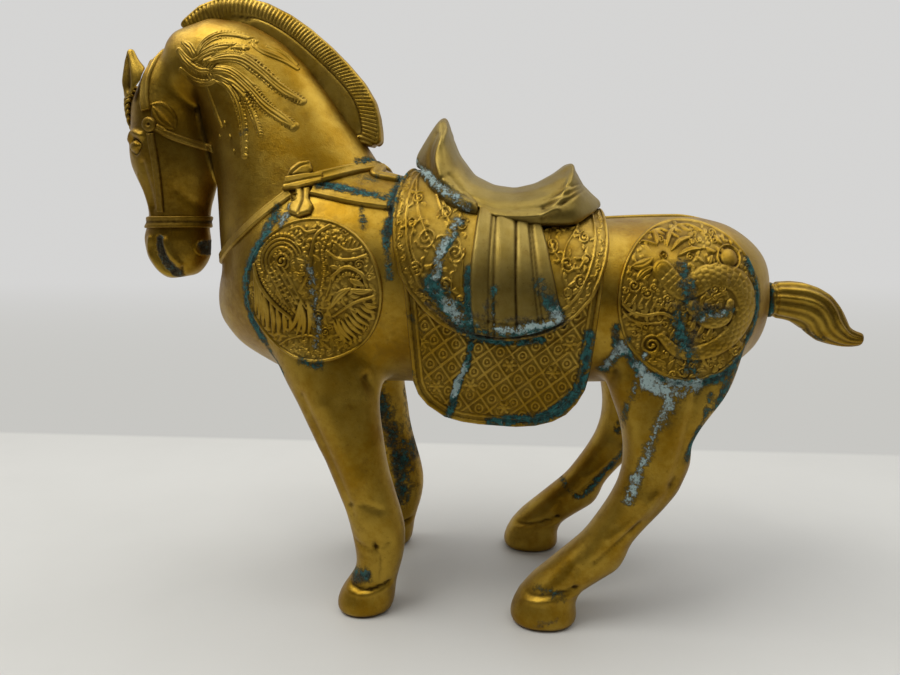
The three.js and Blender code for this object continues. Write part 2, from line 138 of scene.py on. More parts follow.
class Field:
    """A distance field on a regular grid: negative inside the casting."""

    def __init__(self, low, high, voxel, reach):
        self.voxel = voxel
        self.reach = reach
        self.first = np.floor(np.array(low) / voxel).astype(int) - int(reach / voxel) - 2
        last = np.ceil(np.array(high) / voxel).astype(int) + int(reach / voxel) + 2
        self.values = np.full(last - self.first, reach, np.float32)

    def add(self, points, triangles, grow=0.0):
        """Joins a closed mesh to the field, grown by a distance."""
        grid = openvdb.FloatGrid.createLevelSetFromPolygons(
            np.ascontiguousarray(points, np.float32),
            triangles=np.ascontiguousarray(triangles, np.uint32),
            transform=openvdb.createLinearTransform(self.voxel),
            halfWidth=self.reach / self.voxel,
        )
        solid = np.full(self.values.shape, self.reach, np.float32)
        grid.copyToArray(solid, ijk=tuple(int(i) for i in self.first))
        np.minimum(self.values, solid - grow, out=self.values)

    def fill_hollows(self, gap):
        """Makes every space that can't be reached from outside, except through gaps, solid."""
        open_space = self.values > gap
        reached = np.zeros_like(open_space)
        reached[0] = True
        total = -1
        while reached.sum() != total:
            total = reached.sum()
            for axis in range(3):
                cells = np.moveaxis(reached, axis, 0)
                space = np.moveaxis(open_space, axis, 0)
                for n in range(1, len(cells)):
                    cells[n] |= cells[n - 1] & space[n]
                for n in range(len(cells) - 2, -1, -1):
                    cells[n] |= cells[n + 1] & space[n]
        for _ in range(int(2 * gap / self.voxel) + 1):
            spread = reached.copy()
            for axis in range(3):
                spread |= np.roll(reached, 1, axis) | np.roll(reached, -1, axis)
            reached = spread
        self.values[(self.values > 0) & ~reached] = -self.reach

    def blurred(self, sigma):
        """The values averaged over a Gaussian of this many millimetres."""
        spread = sigma / self.voxel
        radius = int(math.ceil(2.6 * spread))
        weights = np.exp(-0.5 * (np.arange(-radius, radius + 1) / spread) ** 2)
        weights = (weights / weights.sum()).astype(np.float32)
        out = self.values
        for axis in range(3):
            padded = np.pad(out, [(radius, radius) if a == axis else (0, 0) for a in range(3)], mode="edge")
            out = np.zeros_like(out)
            for n, weight in enumerate(weights):
                window = [slice(None)] * 3
                window[axis] = slice(n, n + out.shape[axis])
                out += weight * padded[tuple(window)]
        return out

    def coordinates(self, axis):
        """The places of the grid's planes along an axis, shaped to combine with the values."""
        places = (np.arange(self.values.shape[axis]) + self.first[axis]) * self.voxel
        shape = [1, 1, 1]
        shape[axis] = -1
        return places.reshape(shape).astype(np.float32)

    def sample(self, points):
        """The field at points, by trilinear interpolation."""
        at = np.asarray(points) / self.voxel - self.first
        at = np.clip(at, 0, np.array(self.values.shape) - 1.001)
        cell = at.astype(int)
        part = at - cell
        total = 0
        for corner in np.ndindex(2, 2, 2):
            weight = np.prod(np.where(corner, part, 1 - part), axis=1)
            total = total + weight * self.values[tuple((cell + corner).T)]
        return total

    def surface(self, rounds=3):
        """The mesh of quads where the field is zero, evened out along the surface."""
        grid = openvdb.FloatGrid()
        grid.background = self.reach
        grid.transform = openvdb.createLinearTransform(self.voxel)
        grid.copyFromArray(self.values, ijk=tuple(int(i) for i in self.first))
        points, _, quads = grid.convertToPolygons(0.0, 0.0)
        points = points.astype(float)
        step = 0.5 * self.voxel
        for _ in range(rounds):
            points = smooth_vertices(points, quads, 1)
            slope = np.stack([
                self.sample(points + offset) - self.sample(points - offset)
                for offset in np.eye(3) * step
            ], axis=1) / (2 * step)
            steep = np.maximum((slope ** 2).sum(1, keepdims=True), 0.05)
            points -= np.clip(self.sample(points)[:, None] * slope / steep, -1, 1)
        return points, quads.astype(int)

    def resampled(self, low, high, voxel):
        """The part of the field inside a box, on a finer grid."""
        part = Field(low, high, voxel, self.reach)
        places = [part.coordinates(axis).ravel() / self.voxel - self.first[axis] for axis in range(3)]
        values = self.values
        for axis, place in enumerate(places):
            place = np.clip(place, 0, values.shape[axis] - 1.001)
            cell = place.astype(int)
            shape = [1, 1, 1]
            shape[axis] = -1
            share = (place - cell).astype(np.float32).reshape(shape)
            values = np.take(values, cell, axis) * (1 - share) + np.take(values, cell + 1, axis) * share
        part.values = np.ascontiguousarray(values, np.float32)
        return part


def ramp(value, start, end):
    """0 before start, 1 after end, and smooth between them."""
    t = np.clip((value - start) / (end - start), 0, 1)
    return t * t * (3 - 2 * t)


# ---------------------------------------------------------------- drawn relief


def spline(line, steps=6):
    """A smooth line through a few points."""
    line = np.array(line, float)
    if len(line) < 3:
        return line
    ends = np.vstack([2 * line[0] - line[1], line, 2 * line[-1] - line[-2]])
    t = np.linspace(0, 1, steps, endpoint=False)[:, None]
    runs = []
    for a, b, c, d in zip(ends[:-3], ends[1:-2], ends[2:-1], ends[3:]):
        runs.append(0.5 * (2 * b + (c - a) * t + (2 * a - 5 * b + 4 * c - d) * t ** 2
                           + (3 * b - a - 3 * c + d) * t ** 3))
    return np.vstack(runs + [line[-1:]])


def lengths_along(run):
    """The length from a line's start to each of its points."""
    return np.concatenate([[0], np.cumsum(np.linalg.norm(np.diff(run, axis=0), axis=1))])


def point_at(run, at):
    """The point of a line at a length along it."""
    lengths = lengths_along(run)
    return np.array([np.interp(at, lengths, run[:, axis]) for axis in range(run.shape[1])])


def toward(angle):
    """The direction at an angle in degrees."""
    return np.array([math.cos(math.radians(angle)), math.sin(math.radians(angle))])


def unit(vectors):
    return vectors / np.linalg.norm(vectors, axis=-1, keepdims=True)


def rounded(depth, corner):
    """The height of a rounded edge: 0 at the edge, 1 a corner's depth in from it."""
    return np.sqrt(np.clip(1 - (1 - np.clip(depth / corner, 0, 1)) ** 2, 0, 1))


def bead_line(distance, half_width, height):
    """The height of a raised line with a round section, at a distance from its middle."""
    return height * np.sqrt(1 - np.clip(np.abs(distance) / half_width, 0, 1) ** 2)


CURL_EYE = 0.15                       # a spiral's last turn, as a share of its first


class Sheet:
    """A height map over the side view, or over a flat pattern, in millimetres."""

    def __init__(self, low, high, step):
        self.low = np.array(low, float)
        self.step = step
        size = np.ceil((np.array(high, float) - self.low) / step).astype(int) + 1
        self.height = np.zeros(size, np.float32)

    def _window(self, low, high):
        first = np.clip(np.floor((low - self.low) / self.step).astype(int), 0, self.height.shape)
        last = np.clip(np.ceil((high - self.low) / self.step).astype(int) + 1, 0, self.height.shape)
        u = self.low[0] + self.step * np.arange(first[0], last[0])
        v = self.low[1] + self.step * np.arange(first[1], last[1])
        return (slice(first[0], last[0]), slice(first[1], last[1])), u[:, None], v[None, :]

    def trace(self, line, reach):
        """Near a line: the window, the distance, the length along it and the side of it."""
        line = np.asarray(line, float)
        window, u, v = self._window(line.min(0) - reach, line.max(0) + reach)
        shape = (u.shape[0], v.shape[1])
        nearest = np.full(shape, 1e6, np.float32)
        along = np.zeros(shape, np.float32)
        side = np.ones(shape, np.float32)
        gone = 0.0
        for a, b in zip(line[:-1], line[1:]):
            run = b - a
            length = math.hypot(*run)
            if length < 1e-9:
                continue
            t = np.clip(((u - a[0]) * run[0] + (v - a[1]) * run[1]) / length ** 2, 0, 1)
            du = u - a[0] - t * run[0]
            dv = v - a[1] - t * run[1]
            distance = np.hypot(du, dv)
            closer = distance < nearest
            nearest = np.where(closer, distance, nearest)
            along = np.where(closer, gone + t * length, along)
            side = np.where(closer, np.sign(run[0] * dv - run[1] * du), side)
            gone += length
        return window, nearest, along / max(gone, 1e-9), side, gone

    def ridge(self, line, width, height, ends=(1.0, 1.0), smooth=True, flat=0.0):
        """A raised line with a round section, whose ends may be narrower."""
        points = spline(line) if smooth else np.array(line, float)
        window, distance, along, _, _ = self.trace(points, width)
        narrow = np.interp(along, [0, 0.5, 1], [ends[0], 1, ends[1]])
        share = np.clip(distance / (0.5 * width * np.maximum(narrow, 1e-3)), 0, 1)
        share = np.clip((share - flat) / (1 - flat), 0, 1)
        raised = height * narrow ** 0.5 * np.sqrt(1 - share ** 2)
        self.height[window] = np.maximum(self.height[window], raised)

    def groove(self, line, width, depth, smooth=True, ends=(1.0, 1.0)):
        points = spline(line) if smooth else np.array(line, float)
        window, distance, along, _, _ = self.trace(points, 2 * width)
        fade = np.interp(along, [0, 0.3, 0.7, 1], [ends[0], 1, 1, ends[1]])
        self.height[window] -= depth * fade * np.exp(-(2 * distance / width) ** 2)

    def swell(self, line, width, height):
        """A soft swelling along a line."""
        self.groove(line, width, -height)

    def dome(self, centre, radius, height, add=False, squash=1.0):
        centre = np.array(centre, float)
        window, u, v = self._window(centre - radius, centre + radius)
        share = np.clip(((u - centre[0]) ** 2 + ((v - centre[1]) / squash) ** 2) / radius ** 2, 0, 1)
        raised = height * np.sqrt(1 - share)
        part = self.height[window]
        self.height[window] = part + raised if add else np.maximum(part, raised)

    def blob(self, centre, radii, height, turn=0.0):
        """A soft swelling round a point, longer one way than the other."""
        centre = np.array(centre, float)
        reach = 2.2 * max(radii)
        window, u, v = self._window(centre - reach, centre + reach)
        c, s = math.cos(math.radians(turn)), math.sin(math.radians(turn))
        along = (u - centre[0]) * c + (v - centre[1]) * s
        across = (v - centre[1]) * c - (u - centre[0]) * s
        self.height[window] += height * np.exp(-(along / radii[0]) ** 2 - (across / radii[1]) ** 2)

    def slab(self, corners, height, bevel):
        """A flat raised shape with sloping sides."""
        corners = np.array(corners, float)
        window, u, v = self._window(corners.min(0) - 1, corners.max(0) + 1)
        inside = inside_polygon(u + 0 * v, v + 0 * u, corners)
        raised = height * rounded(inside, bevel)
        self.height[window] = np.maximum(self.height[window], raised)

    def ring(self, centre, radius, width, height):
        centre = np.array(centre, float)
        window, u, v = self._window(centre - radius - width, centre + radius + width)
        distance = np.abs(np.hypot(u - centre[0], v - centre[1]) - radius)
        share = np.clip(2 * distance / width, 0, 1)
        self.height[window] = np.maximum(self.height[window], height * np.sqrt(1 - share ** 2))

    def curl(self, centre, radius, turns, start, width, height, hand=1):
        """A spiral scroll that ends in a round eye."""
        t = np.linspace(0, 1, int(14 * turns) + 6)
        angle = math.radians(start) + hand * 2 * math.pi * turns * t
        r = radius * (1 - (1 - CURL_EYE) * t)
        line = np.stack([centre[0] + r * np.cos(angle), centre[1] + r * np.sin(angle)], axis=1)
        self.ridge(line, width, height, ends=(0.7, 0.7), smooth=False)
        self.dome(line[-1], 0.8 * width, 1.15 * height)
        return line[0]

    def leaf(self, root, tip, width, height, bend=0.0):
        """A pointed leaf with a fine vein."""
        root, tip = np.array(root, float), np.array(tip, float)
        run = tip - root
        middle = (root + tip) / 2 + bend * np.array([-run[1], run[0]])
        points = spline([root, middle, tip], 8)
        window, distance, along, _, _ = self.trace(points, width)
        half = 0.5 * width * np.sin(np.pi * np.clip(along, 0.02, 0.98)) ** 0.8
        share = np.clip(distance / np.maximum(half, 1e-3), 0, 1)
        raised = height * np.sqrt(1 - share ** 2) - 0.3 * height * np.exp(-(distance / (0.09 * width)) ** 2)
        self.height[window] = np.maximum(self.height[window], np.where(share < 1, raised, 0))

    def scaled_body(self, line, widths, height, pitch):
        """A coiling body that tapers, covered in rows of scales."""
        points = spline(line, 10)
        window, distance, along, side, length = self.trace(points, max(widths))
        half = 0.5 * np.interp(along, np.linspace(0, 1, len(widths)), widths)
        share = np.clip(distance / half, 0, 1)
        rows = along * length / pitch
        across = side * distance / pitch + 0.5 * (np.floor(rows) % 2)
        in_row = rows - np.floor(rows)
        in_column = across - np.floor(across) - 0.5
        scale = np.sqrt(np.clip(1 - (1.25 * in_row) ** 2 * 0.6 - (1.9 * in_column) ** 2, 0, 1))
        raised = height * np.sqrt(1 - share ** 2) + 0.28 * height * scale * (share < 0.86)
        self.height[window] = np.maximum(self.height[window], np.where(share < 1, raised, 0))

    def bounded(self, centre, radii):
        """Keeps only what lies inside an ellipse."""
        u = self.low[0] + self.step * np.arange(self.height.shape[0])[:, None]
        v = self.low[1] + self.step * np.arange(self.height.shape[1])[None, :]
        share = np.hypot((u - centre[0]) / radii[0], (v - centre[1]) / radii[1])
        self.height *= 1 - ramp(share, 0.985, 1.0)

    def sample(self, u, v, values=None):
        values = self.height if values is None else values
        a = np.clip((np.asarray(u) - self.low[0]) / self.step, 0, values.shape[0] - 1.001)
        b = np.clip((np.asarray(v) - self.low[1]) / self.step, 0, values.shape[1] - 1.001)
        i, j = a.astype(int), b.astype(int)
        p, q = a - i, b - j
        return ((values[i, j] * (1 - p) + values[i + 1, j] * p) * (1 - q)
                + (values[i, j + 1] * (1 - p) + values[i + 1, j + 1] * p) * q)


# ---------------------------------------------------------------- the cast body, neck, head and legs

VOXEL = 1.0
HEAD_VOXEL = 0.5
REACH = 8.0
BRAZE = 0.25                          # neighbouring castings are grown by this before they are joined
LEG_NODES = ["front_leg_left", "front_leg_right", "hind_leg_left", "hind_leg_right"]
FINE_BLUR, BROAD_BLUR = 1.9, 4.2      # how far the CAD's facets and joints are rounded

SEAM = min(node_box(name)[1][2] for name in LEG_NODES)
HEAD_BASE = node_box("head")[0][2]
HEAD_REGION = ([-176, -26, HEAD_BASE - 3], [-118, 26, 252])
SCRAP = 500                           # a cut-off piece with fewer points than this is no leg
HALVES_GAP = 0.02                     # the two body halves stop this far from the middle
THROAT = np.array([-129.4, 186.0])    # where the jaw meets the neck, in the side view
POLL = np.array([-141.5, 249.0])      # where the skull meets the mane


def casting_field():
    """The smooth distance field of the body with its head and legs on."""
    names = ["body_half_left", "body_half_right", "head"] + LEG_NODES
    boxes = [node_box(name) for name in names]
    field = Field(np.min([b[0] for b in boxes], 0), np.max([b[1] for b in boxes], 0), VOXEL, REACH)
    for name in names:
        field.add(*node_mesh(name), grow=BRAZE)
    field.values += BRAZE
    field.fill_hollows(gap=1.2)
    outside = field.surface(rounds=0)
    field.values[:] = REACH
    field.add(outside[0], np.vstack([outside[1][:, :3], outside[1][:, [2, 3, 0]]]))
    fine = field.blurred(FINE_BLUR)
    broad = field.blurred(BROAD_BLUR)
    x, z = field.coordinates(0), field.coordinates(2)
    broad_share = ramp(z, 72, 96) * ramp(x, -132, -112)
    field.values = fine * (1 - broad_share) + broad * broad_share
    floor = -field.coordinates(2)
    field.values = np.maximum(field.values - 0.12, floor)
    return field


def cast_in_sheet():
    """Everything that was modelled into the left side of the body casting itself."""
    sheet = Sheet([-185, -5], [125, 275], 0.25)
    draw_head(sheet)
    draw_muscles(sheet)
    return sheet


def draw_head(sheet):
    """Eye, brow, cheek, nostril and mouth."""
    sheet.blob([-140, 196], [9, 13], 1.0)                                    # cheek
    sheet.groove([[-158.5, 195], [-157, 184], [-156.6, 176]], 3.2, 0.6)      # hollow under the eye
    sheet.swell([[-166, 206], [-162.5, 208.6], [-157.5, 207]], 3.0, 1.4)     # brow
    sheet.dome([-161.8, 202.6], 2.9, 1.3, add=True, squash=0.8)              # eyeball
    sheet.groove([[-165.8, 202.0], [-162, 206.0], [-157.4, 203.2]], 1.1, 0.9, ends=(0.5, 0.5))
    sheet.groove([[-165.6, 201.2], [-161.6, 199.0], [-157.4, 202.6]], 1.0, 0.6, ends=(0.5, 0.5))
    sheet.swell([[-163, 190], [-160, 178], [-158.5, 172]], 2.4, 0.5)         # face crest
    sheet.swell([[-159.4, 161.5], [-160.2, 156], [-157.6, 150.4], [-154.6, 146.4], [-149.4, 144]], 2.8, 0.9)
    sheet.groove([[-154.4, 160.6], [-154.2, 156], [-152.2, 150.6], [-148.6, 146.4]],
                 3.6, 3.4, ends=(0.6, 0.6))
    sheet.swell([[-151.0, 160.5], [-148.6, 154.5], [-145.4, 150]], 3.0, 0.9)
    sheet.blob([-144, 162], [5, 4], 0.6)                                     # upper lip
    sheet.groove([[-145.2, 143.0], [-144.8, 147], [-143.4, 149.6]], 1.6, 1.0, ends=(1, 0.1))
    sheet.dome([-134.8, 157], 4.0, 0.8, add=True)                            # corner of the mouth
    sheet.blob([-134.4, 157], [2.1, 2.3], -3.4)
    sheet.groove([[-143, 183], [-138, 178], [-134, 176]], 5, 0.4)
    sheet.blob([-126.6, 200.8], [1.1, 1.1], -1.2)                            # strap hole at the jaw
    sheet.leaf([-151.0, 219.6], [-142.2, 209.4], 6.0, 1.2, bend=-0.12)       # leaf behind the ear
    sheet.ridge([[-151.6, 220.2], [-146.4, 220.4], [-141.8, 215], [-141.6, 209.4]],
                1.3, 0.8, ends=(0.3, 0.3))


def draw_muscles(sheet):
    """Muscles, joints, tendons and hoof walls."""
    sheet.groove([[-127, 176], [-121, 163], [-113, 150]], 8, 0.5)
    sheet.swell([[-93, 98], [-84, 84], [-76, 72]], 9, 0.9)                   # forearm, front
    sheet.swell([[-68, 92], [-62, 78], [-56, 62]], 8, 0.7)                   # forearm, back
    sheet.groove([[-80, 96], [-72, 80], [-64, 62], [-58, 46]], 4.5, 0.8)
    sheet.groove([[-52, 104], [-47, 92], [-46, 80]], 4.0, 1.1)               # elbow
    sheet.blob([-53, 42], [6.5, 5.5], 0.9)                                   # knee
    sheet.groove([[-61, 49], [-54, 51], [-46, 48]], 3, 0.5)
    sheet.groove([[-58, 33.5], [-52, 31.5], [-43, 33.5]], 3, 0.5)
    sheet.groove([[-49, 34], [-46.5, 26], [-47, 17]], 2.4, 0.6)              # cannon tendon
    sheet.groove([[-62, 14.5], [-53, 13], [-43, 15.5]], 2.4, 0.9)            # coronet
    sheet.swell([[-64, 11.8], [-54, 10.4], [-43, 12.6]], 1.8, 0.45)
    sheet.groove([[-50.5, 12], [-48.5, 6], [-47.5, 0]], 1.6, 0.25)
    sheet.swell([[96, 112], [90, 96], [82, 82]], 9, 0.9)                     # thigh, back
    sheet.groove([[84, 110], [79, 94], [76, 78], [72, 64]], 5, 0.9)
    sheet.swell([[58, 104], [56, 90], [58, 78]], 8, 0.7)                     # stifle
    sheet.groove([[49, 108], [46, 98], [48, 88]], 4, 1.0)
    sheet.groove([[74, 66], [66, 52], [58, 44]], 3.4, 0.45)                  # hamstring
    sheet.blob([60, 57], [6, 4.5], 0.7)                                      # hock
    sheet.swell([[66, 60], [57, 48], [48, 40]], 3.0, 0.6)
    sheet.groove([[60, 48], [50, 37], [42, 30]], 2.2, 0.5)
    sheet.groove([[36, 27], [34, 21], [38, 15]], 3, 0.5)
    sheet.groove([[12, 14.5], [22, 15.5], [36, 19]], 2.6, 0.8)
    sheet.swell([[11, 11.8], [22, 12.6], [37, 15.4]], 1.8, 0.4)


SIDE_SHEET = cast_in_sheet()


def carve(points, faces):
    """Moves the casting's vertices out by the drawn relief, which fades where the surface turns away."""
    normals = vertex_normals(points, faces)
    facing = ramp(np.abs(normals[:, 1]), 0.15, 0.75)
    x = points[:, 0] - right_leads(points)
    return points + normals * (SIDE_SHEET.sample(x, points[:, 2]) * facing)[:, None]


def right_leads(points):
    """How far the right legs stand ahead of the left ones, at each point."""
    front = node_box("front_leg_right")[0][0] - node_box("front_leg_left")[0][0]
    hind = node_box("hind_leg_right")[0][0] - node_box("hind_leg_left")[0][0]
    lead = np.where(points[:, 0] < 0, front, hind)
    return np.where(points[:, 1] > 0, lead * np.clip(1 - points[:, 2] / SEAM, 0, 1), 0)


def mesh_of(points, faces):
    mesh = bmesh.new()
    vertices = [mesh.verts.new(p) for p in points]
    for face in faces:
        mesh.faces.new([vertices[n] for n in face])
    return mesh


def arrays_of(mesh):
    """A bmesh's points, and its faces as triangles."""
    bmesh.ops.triangulate(mesh, faces=mesh.faces[:], ngon_method="EAR_CLIP")
    mesh.verts.index_update()
    points = np.array([v.co[:] for v in mesh.verts])
    faces = np.array([[v.index for v in f.verts] for f in mesh.faces])
    return points, faces


def cut_away(mesh, place, normal, within=None):
    """Cuts the mesh on a plane and closes it: what lies on the normal's side goes."""
    geometry = mesh.verts[:] + mesh.edges[:] + mesh.faces[:]
    if within:
        faces = [f for f in mesh.faces if within(f.calc_center_median())]
        edges = {e for f in faces for e in f.edges}
        geometry = faces + list(edges) + list({v for e in edges for v in e.verts})
    bmesh.ops.bisect_plane(mesh, geom=geometry, plane_co=place, plane_no=normal, dist=1e-5)
    offset = Vector(place).dot(Vector(normal))
    gone = [f for f in mesh.faces
            if f.calc_center_median().dot(Vector(normal)) > offset
            and (within is None or within(f.calc_center_median()))]
    bmesh.ops.delete(mesh, geom=gone, context="FACES")
    bmesh.ops.holes_fill(mesh, edges=[e for e in mesh.edges if e.is_boundary], sides=0)


def islands(points, faces):
    """Splits a mesh into its connected parts."""
    label = np.arange(len(points))
    while True:
        low = label[faces].min(1)
        new = label.copy()
        np.minimum.at(new, faces.ravel(), np.repeat(low, faces.shape[1]))
        new = new[new]
        if (new == label).all():
            break
        label = new
    parts = []
    for root in np.unique(label):
        kept = faces[label[faces[:, 0]] == root]
        used, inverse = np.unique(kept, return_inverse=True)
        parts.append((points[used], inverse.reshape(kept.shape)))
    return parts


# ---------------------------------------------------------------- skins that the other pieces lie on


class Skin:
    """A finished surface, which finds where a piece laid on it rests."""

    def __init__(self, points, faces):
        self.tree = BVHTree.FromPolygons(points.tolist(), faces.tolist())

    def hits(self, starts, ways):
        """Where rays from the starts first meet the surface."""
        found = np.empty_like(starts)
        for n, (start, way) in enumerate(zip(starts.tolist(), ways.tolist())):
            place = self.tree.ray_cast(start, way)[0]
            if place is None:
                place = self.tree.find_nearest(Vector(start) + 180 * Vector(way))[0]
            found[n] = place
        return found

    def beside(self, x, z):
        """The left side of the surface, seen square on, at arrays of x and z."""
        starts = np.stack([x.ravel(), np.full(x.size, -200.0), z.ravel()], axis=1)
        ways = np.tile([0.0, 1.0, 0.0], (x.size, 1))
        return self.hits(starts, ways).reshape(x.shape + (3,))

    def around(self, centres, ways):
        """The surface straight out from points inside it."""
        return self.hits(centres + 200 * ways, -ways)


def blur_lattice(values, cells):
    """Averages a lattice over a Gaussian of this many cells."""
    radius = int(math.ceil(2.5 * cells))
    weights = np.exp(-0.5 * (np.arange(-radius, radius + 1) / cells) ** 2)
    weights /= weights.sum()
    for axis in range(2):
        pads = [(radius, radius) if a == axis else (0, 0) for a in range(values.ndim)]
        padded = np.pad(values, pads, mode="reflect", reflect_type="odd")
        length = values.shape[axis]
        values = sum(w * np.take(padded, range(n, n + length), axis) for n, w in enumerate(weights))
    return values


def lattice_normals(places):
    normals = np.cross(np.gradient(places, axis=0), np.gradient(places, axis=1))
    return normals / np.maximum(np.linalg.norm(normals, axis=2, keepdims=True), 1e-9)


def bilinear(values, i, j):
    i = np.clip(i, 0, values.shape[0] - 1.001)
    j = np.clip(j, 0, values.shape[1] - 1.001)
    a, b = i.astype(int), j.astype(int)
    p, q = (i - a), (j - b)
    if values.ndim == 3:
        p, q = p[..., None], q[..., None]
    return ((values[a, b] * (1 - p) + values[a + 1, b] * p) * (1 - q)
            + (values[a, b + 1] * (1 - p) + values[a + 1, b + 1] * p) * q)


def ordered_loop(edges):
    """Chains directed edges into the longest closed loop."""
    follows = dict(edges)
    loops = []
    while follows:
        start = next(iter(follows))
        loop = [start]
        at = follows.pop(start)
        while at != start and at in follows:
            loop.append(at)
            at = follows.pop(at)
        loops.append(loop)
    return max(loops, key=len)


def plate(places, inside, top, back, hollow, corner=0.9, soft=1.0):
    """A closed plate over a lattice of places on a skin.

    inside is the distance in from the plate's edge, top the height of its face, and back the height
    of its underside, all along the lattice. The edge's corner is rounded. Returns the points, the
    triangles and the values of "hollow" at the points.
    """
    outward = lattice_normals(places)
    rise_u, rise_v = np.gradient(inside)
    steep = np.hypot(rise_u, rise_v)
    step = np.median(steep[steep > 0.02])
    kept = inside > -0.5 * step
    cells = kept[:-1, :-1] & kept[1:, :-1] & kept[:-1, 1:] & kept[1:, 1:]
    i, j = np.nonzero(cells)
    number = np.arange(kept.size).reshape(kept.shape)
    quads = np.stack([number[i, j], number[i + 1, j], number[i + 1, j + 1], number[i, j + 1]], axis=1)
    directed = np.concatenate([quads[:, [a, (a + 1) % 4]] for a in range(4)])
    keys = directed[:, 0] * kept.size + directed[:, 1]
    against = directed[:, 1] * kept.size + directed[:, 0]
    rim = directed[~np.isin(keys, against)]
    loop = np.array(ordered_loop(rim.tolist()))

    row, column = np.divmod(np.arange(kept.size), kept.shape[1])
    row, column = row.astype(float), column.astype(float)
    slope = rise_u.ravel()[loop] ** 2 + rise_v.ravel()[loop] ** 2
    shift = np.clip(-inside.ravel()[loop] / np.maximum(slope, 1e-9), -0.8 / step, 0.8 / step)
    row[loop] += np.clip(shift * rise_u.ravel()[loop], -0.8, 0.8)
    column[loop] += np.clip(shift * rise_v.ravel()[loop], -0.8, 0.8)

    used = np.unique(quads)
    renumber = np.full(kept.size, -1)
    renumber[used] = np.arange(len(used))
    rows, columns = row[used], column[used]
    depth = np.clip(bilinear(inside, rows, columns), 0, None)
    rounding = corner * (1 - rounded(depth, corner))
    heights = bilinear(top, rows, columns) - soft * rounding
    ground, away = bilinear(places, rows, columns), bilinear(outward, rows, columns)
    face = ground + away * heights[:, None]

    coarse = max(3, int(3.0 / step))
    inner = np.zeros_like(kept)
    inner[::coarse, ::coarse] = inside[::coarse, ::coarse] > 2.5 * step
    inner_at = np.nonzero(inner)
    flat = [Vector((row[n], column[n])) for n in loop]
    flat += [Vector((float(a), float(b))) for a, b in zip(*inner_at)]
    ring = list(range(len(loop)))
    edges = [(n, (n + 1) % len(loop)) for n in ring]
    flat_points, _, flat_faces, origins, _, _ = delaunay_2d_cdt(flat, edges, [], 1, 1e-4)
    under_at = np.array([p[:] for p in flat_points])
    under_ground = bilinear(places, under_at[:, 0], under_at[:, 1])
    under_away = bilinear(outward, under_at[:, 0], under_at[:, 1])
    under_height = bilinear(np.broadcast_to(back, kept.shape).astype(float), under_at[:, 0], under_at[:, 1])
    under = under_ground + under_away * under_height[:, None]

    under_number = np.full(len(loop), -1)
    for n, sources in enumerate(origins):
        for source in sources:
            if source < len(loop):
                under_number[source] = n
    base = len(used)
    triangles = [renumber[quads[:, [0, 1, 2]]], renumber[quads[:, [0, 2, 3]]]]
    flipped = np.array([f for f in flat_faces if len(f) == 3])
    triangles.append(base + flipped[:, ::-1])
    here, there = renumber[loop], renumber[np.roll(loop, -1)]
    low_here, low_there = base + under_number, base + np.roll(under_number, -1)
    triangles.append(np.stack([there, here, low_here], axis=1))
    triangles.append(np.stack([there, low_here, low_there], axis=1))
    dark = np.zeros(len(used) + len(under))
    dark[:base] = bilinear(hollow, rows, columns)
    return np.vstack([face, under]), np.vstack(triangles), dark


def lattice(low, high, step):
    u = np.arange(low[0], high[0] + step, step)
    v = np.arange(low[1], high[1] + step, step)
    return np.meshgrid(u, v, indexing="ij")


def inside_polygon(x, z, corners):
    """The distance in from the edge of a polygon: negative outside."""
    corners = np.array(corners, float)
    nearest = np.full(x.shape, 1e6)
    within = np.zeros(x.shape, bool)
    for a, b in zip(corners, np.roll(corners, -1, axis=0)):
        run = b - a
        t = np.clip(((x - a[0]) * run[0] + (z - a[1]) * run[1]) / (run @ run), 0, 1)
        nearest = np.minimum(nearest, np.hypot(x - a[0] - t * run[0], z - a[1] - t * run[1]))
        crosses = (a[1] > z) != (b[1] > z)
        with np.errstate(divide="ignore", invalid="ignore"):
            ahead = x < a[0] + (z - a[1]) * run[0] / run[1]
        within ^= crosses & ahead
    return np.where(within, nearest, -nearest)


def mirrored(points, faces):
    return points * [1, -1, 1], np.asarray(faces)[:, ::-1]
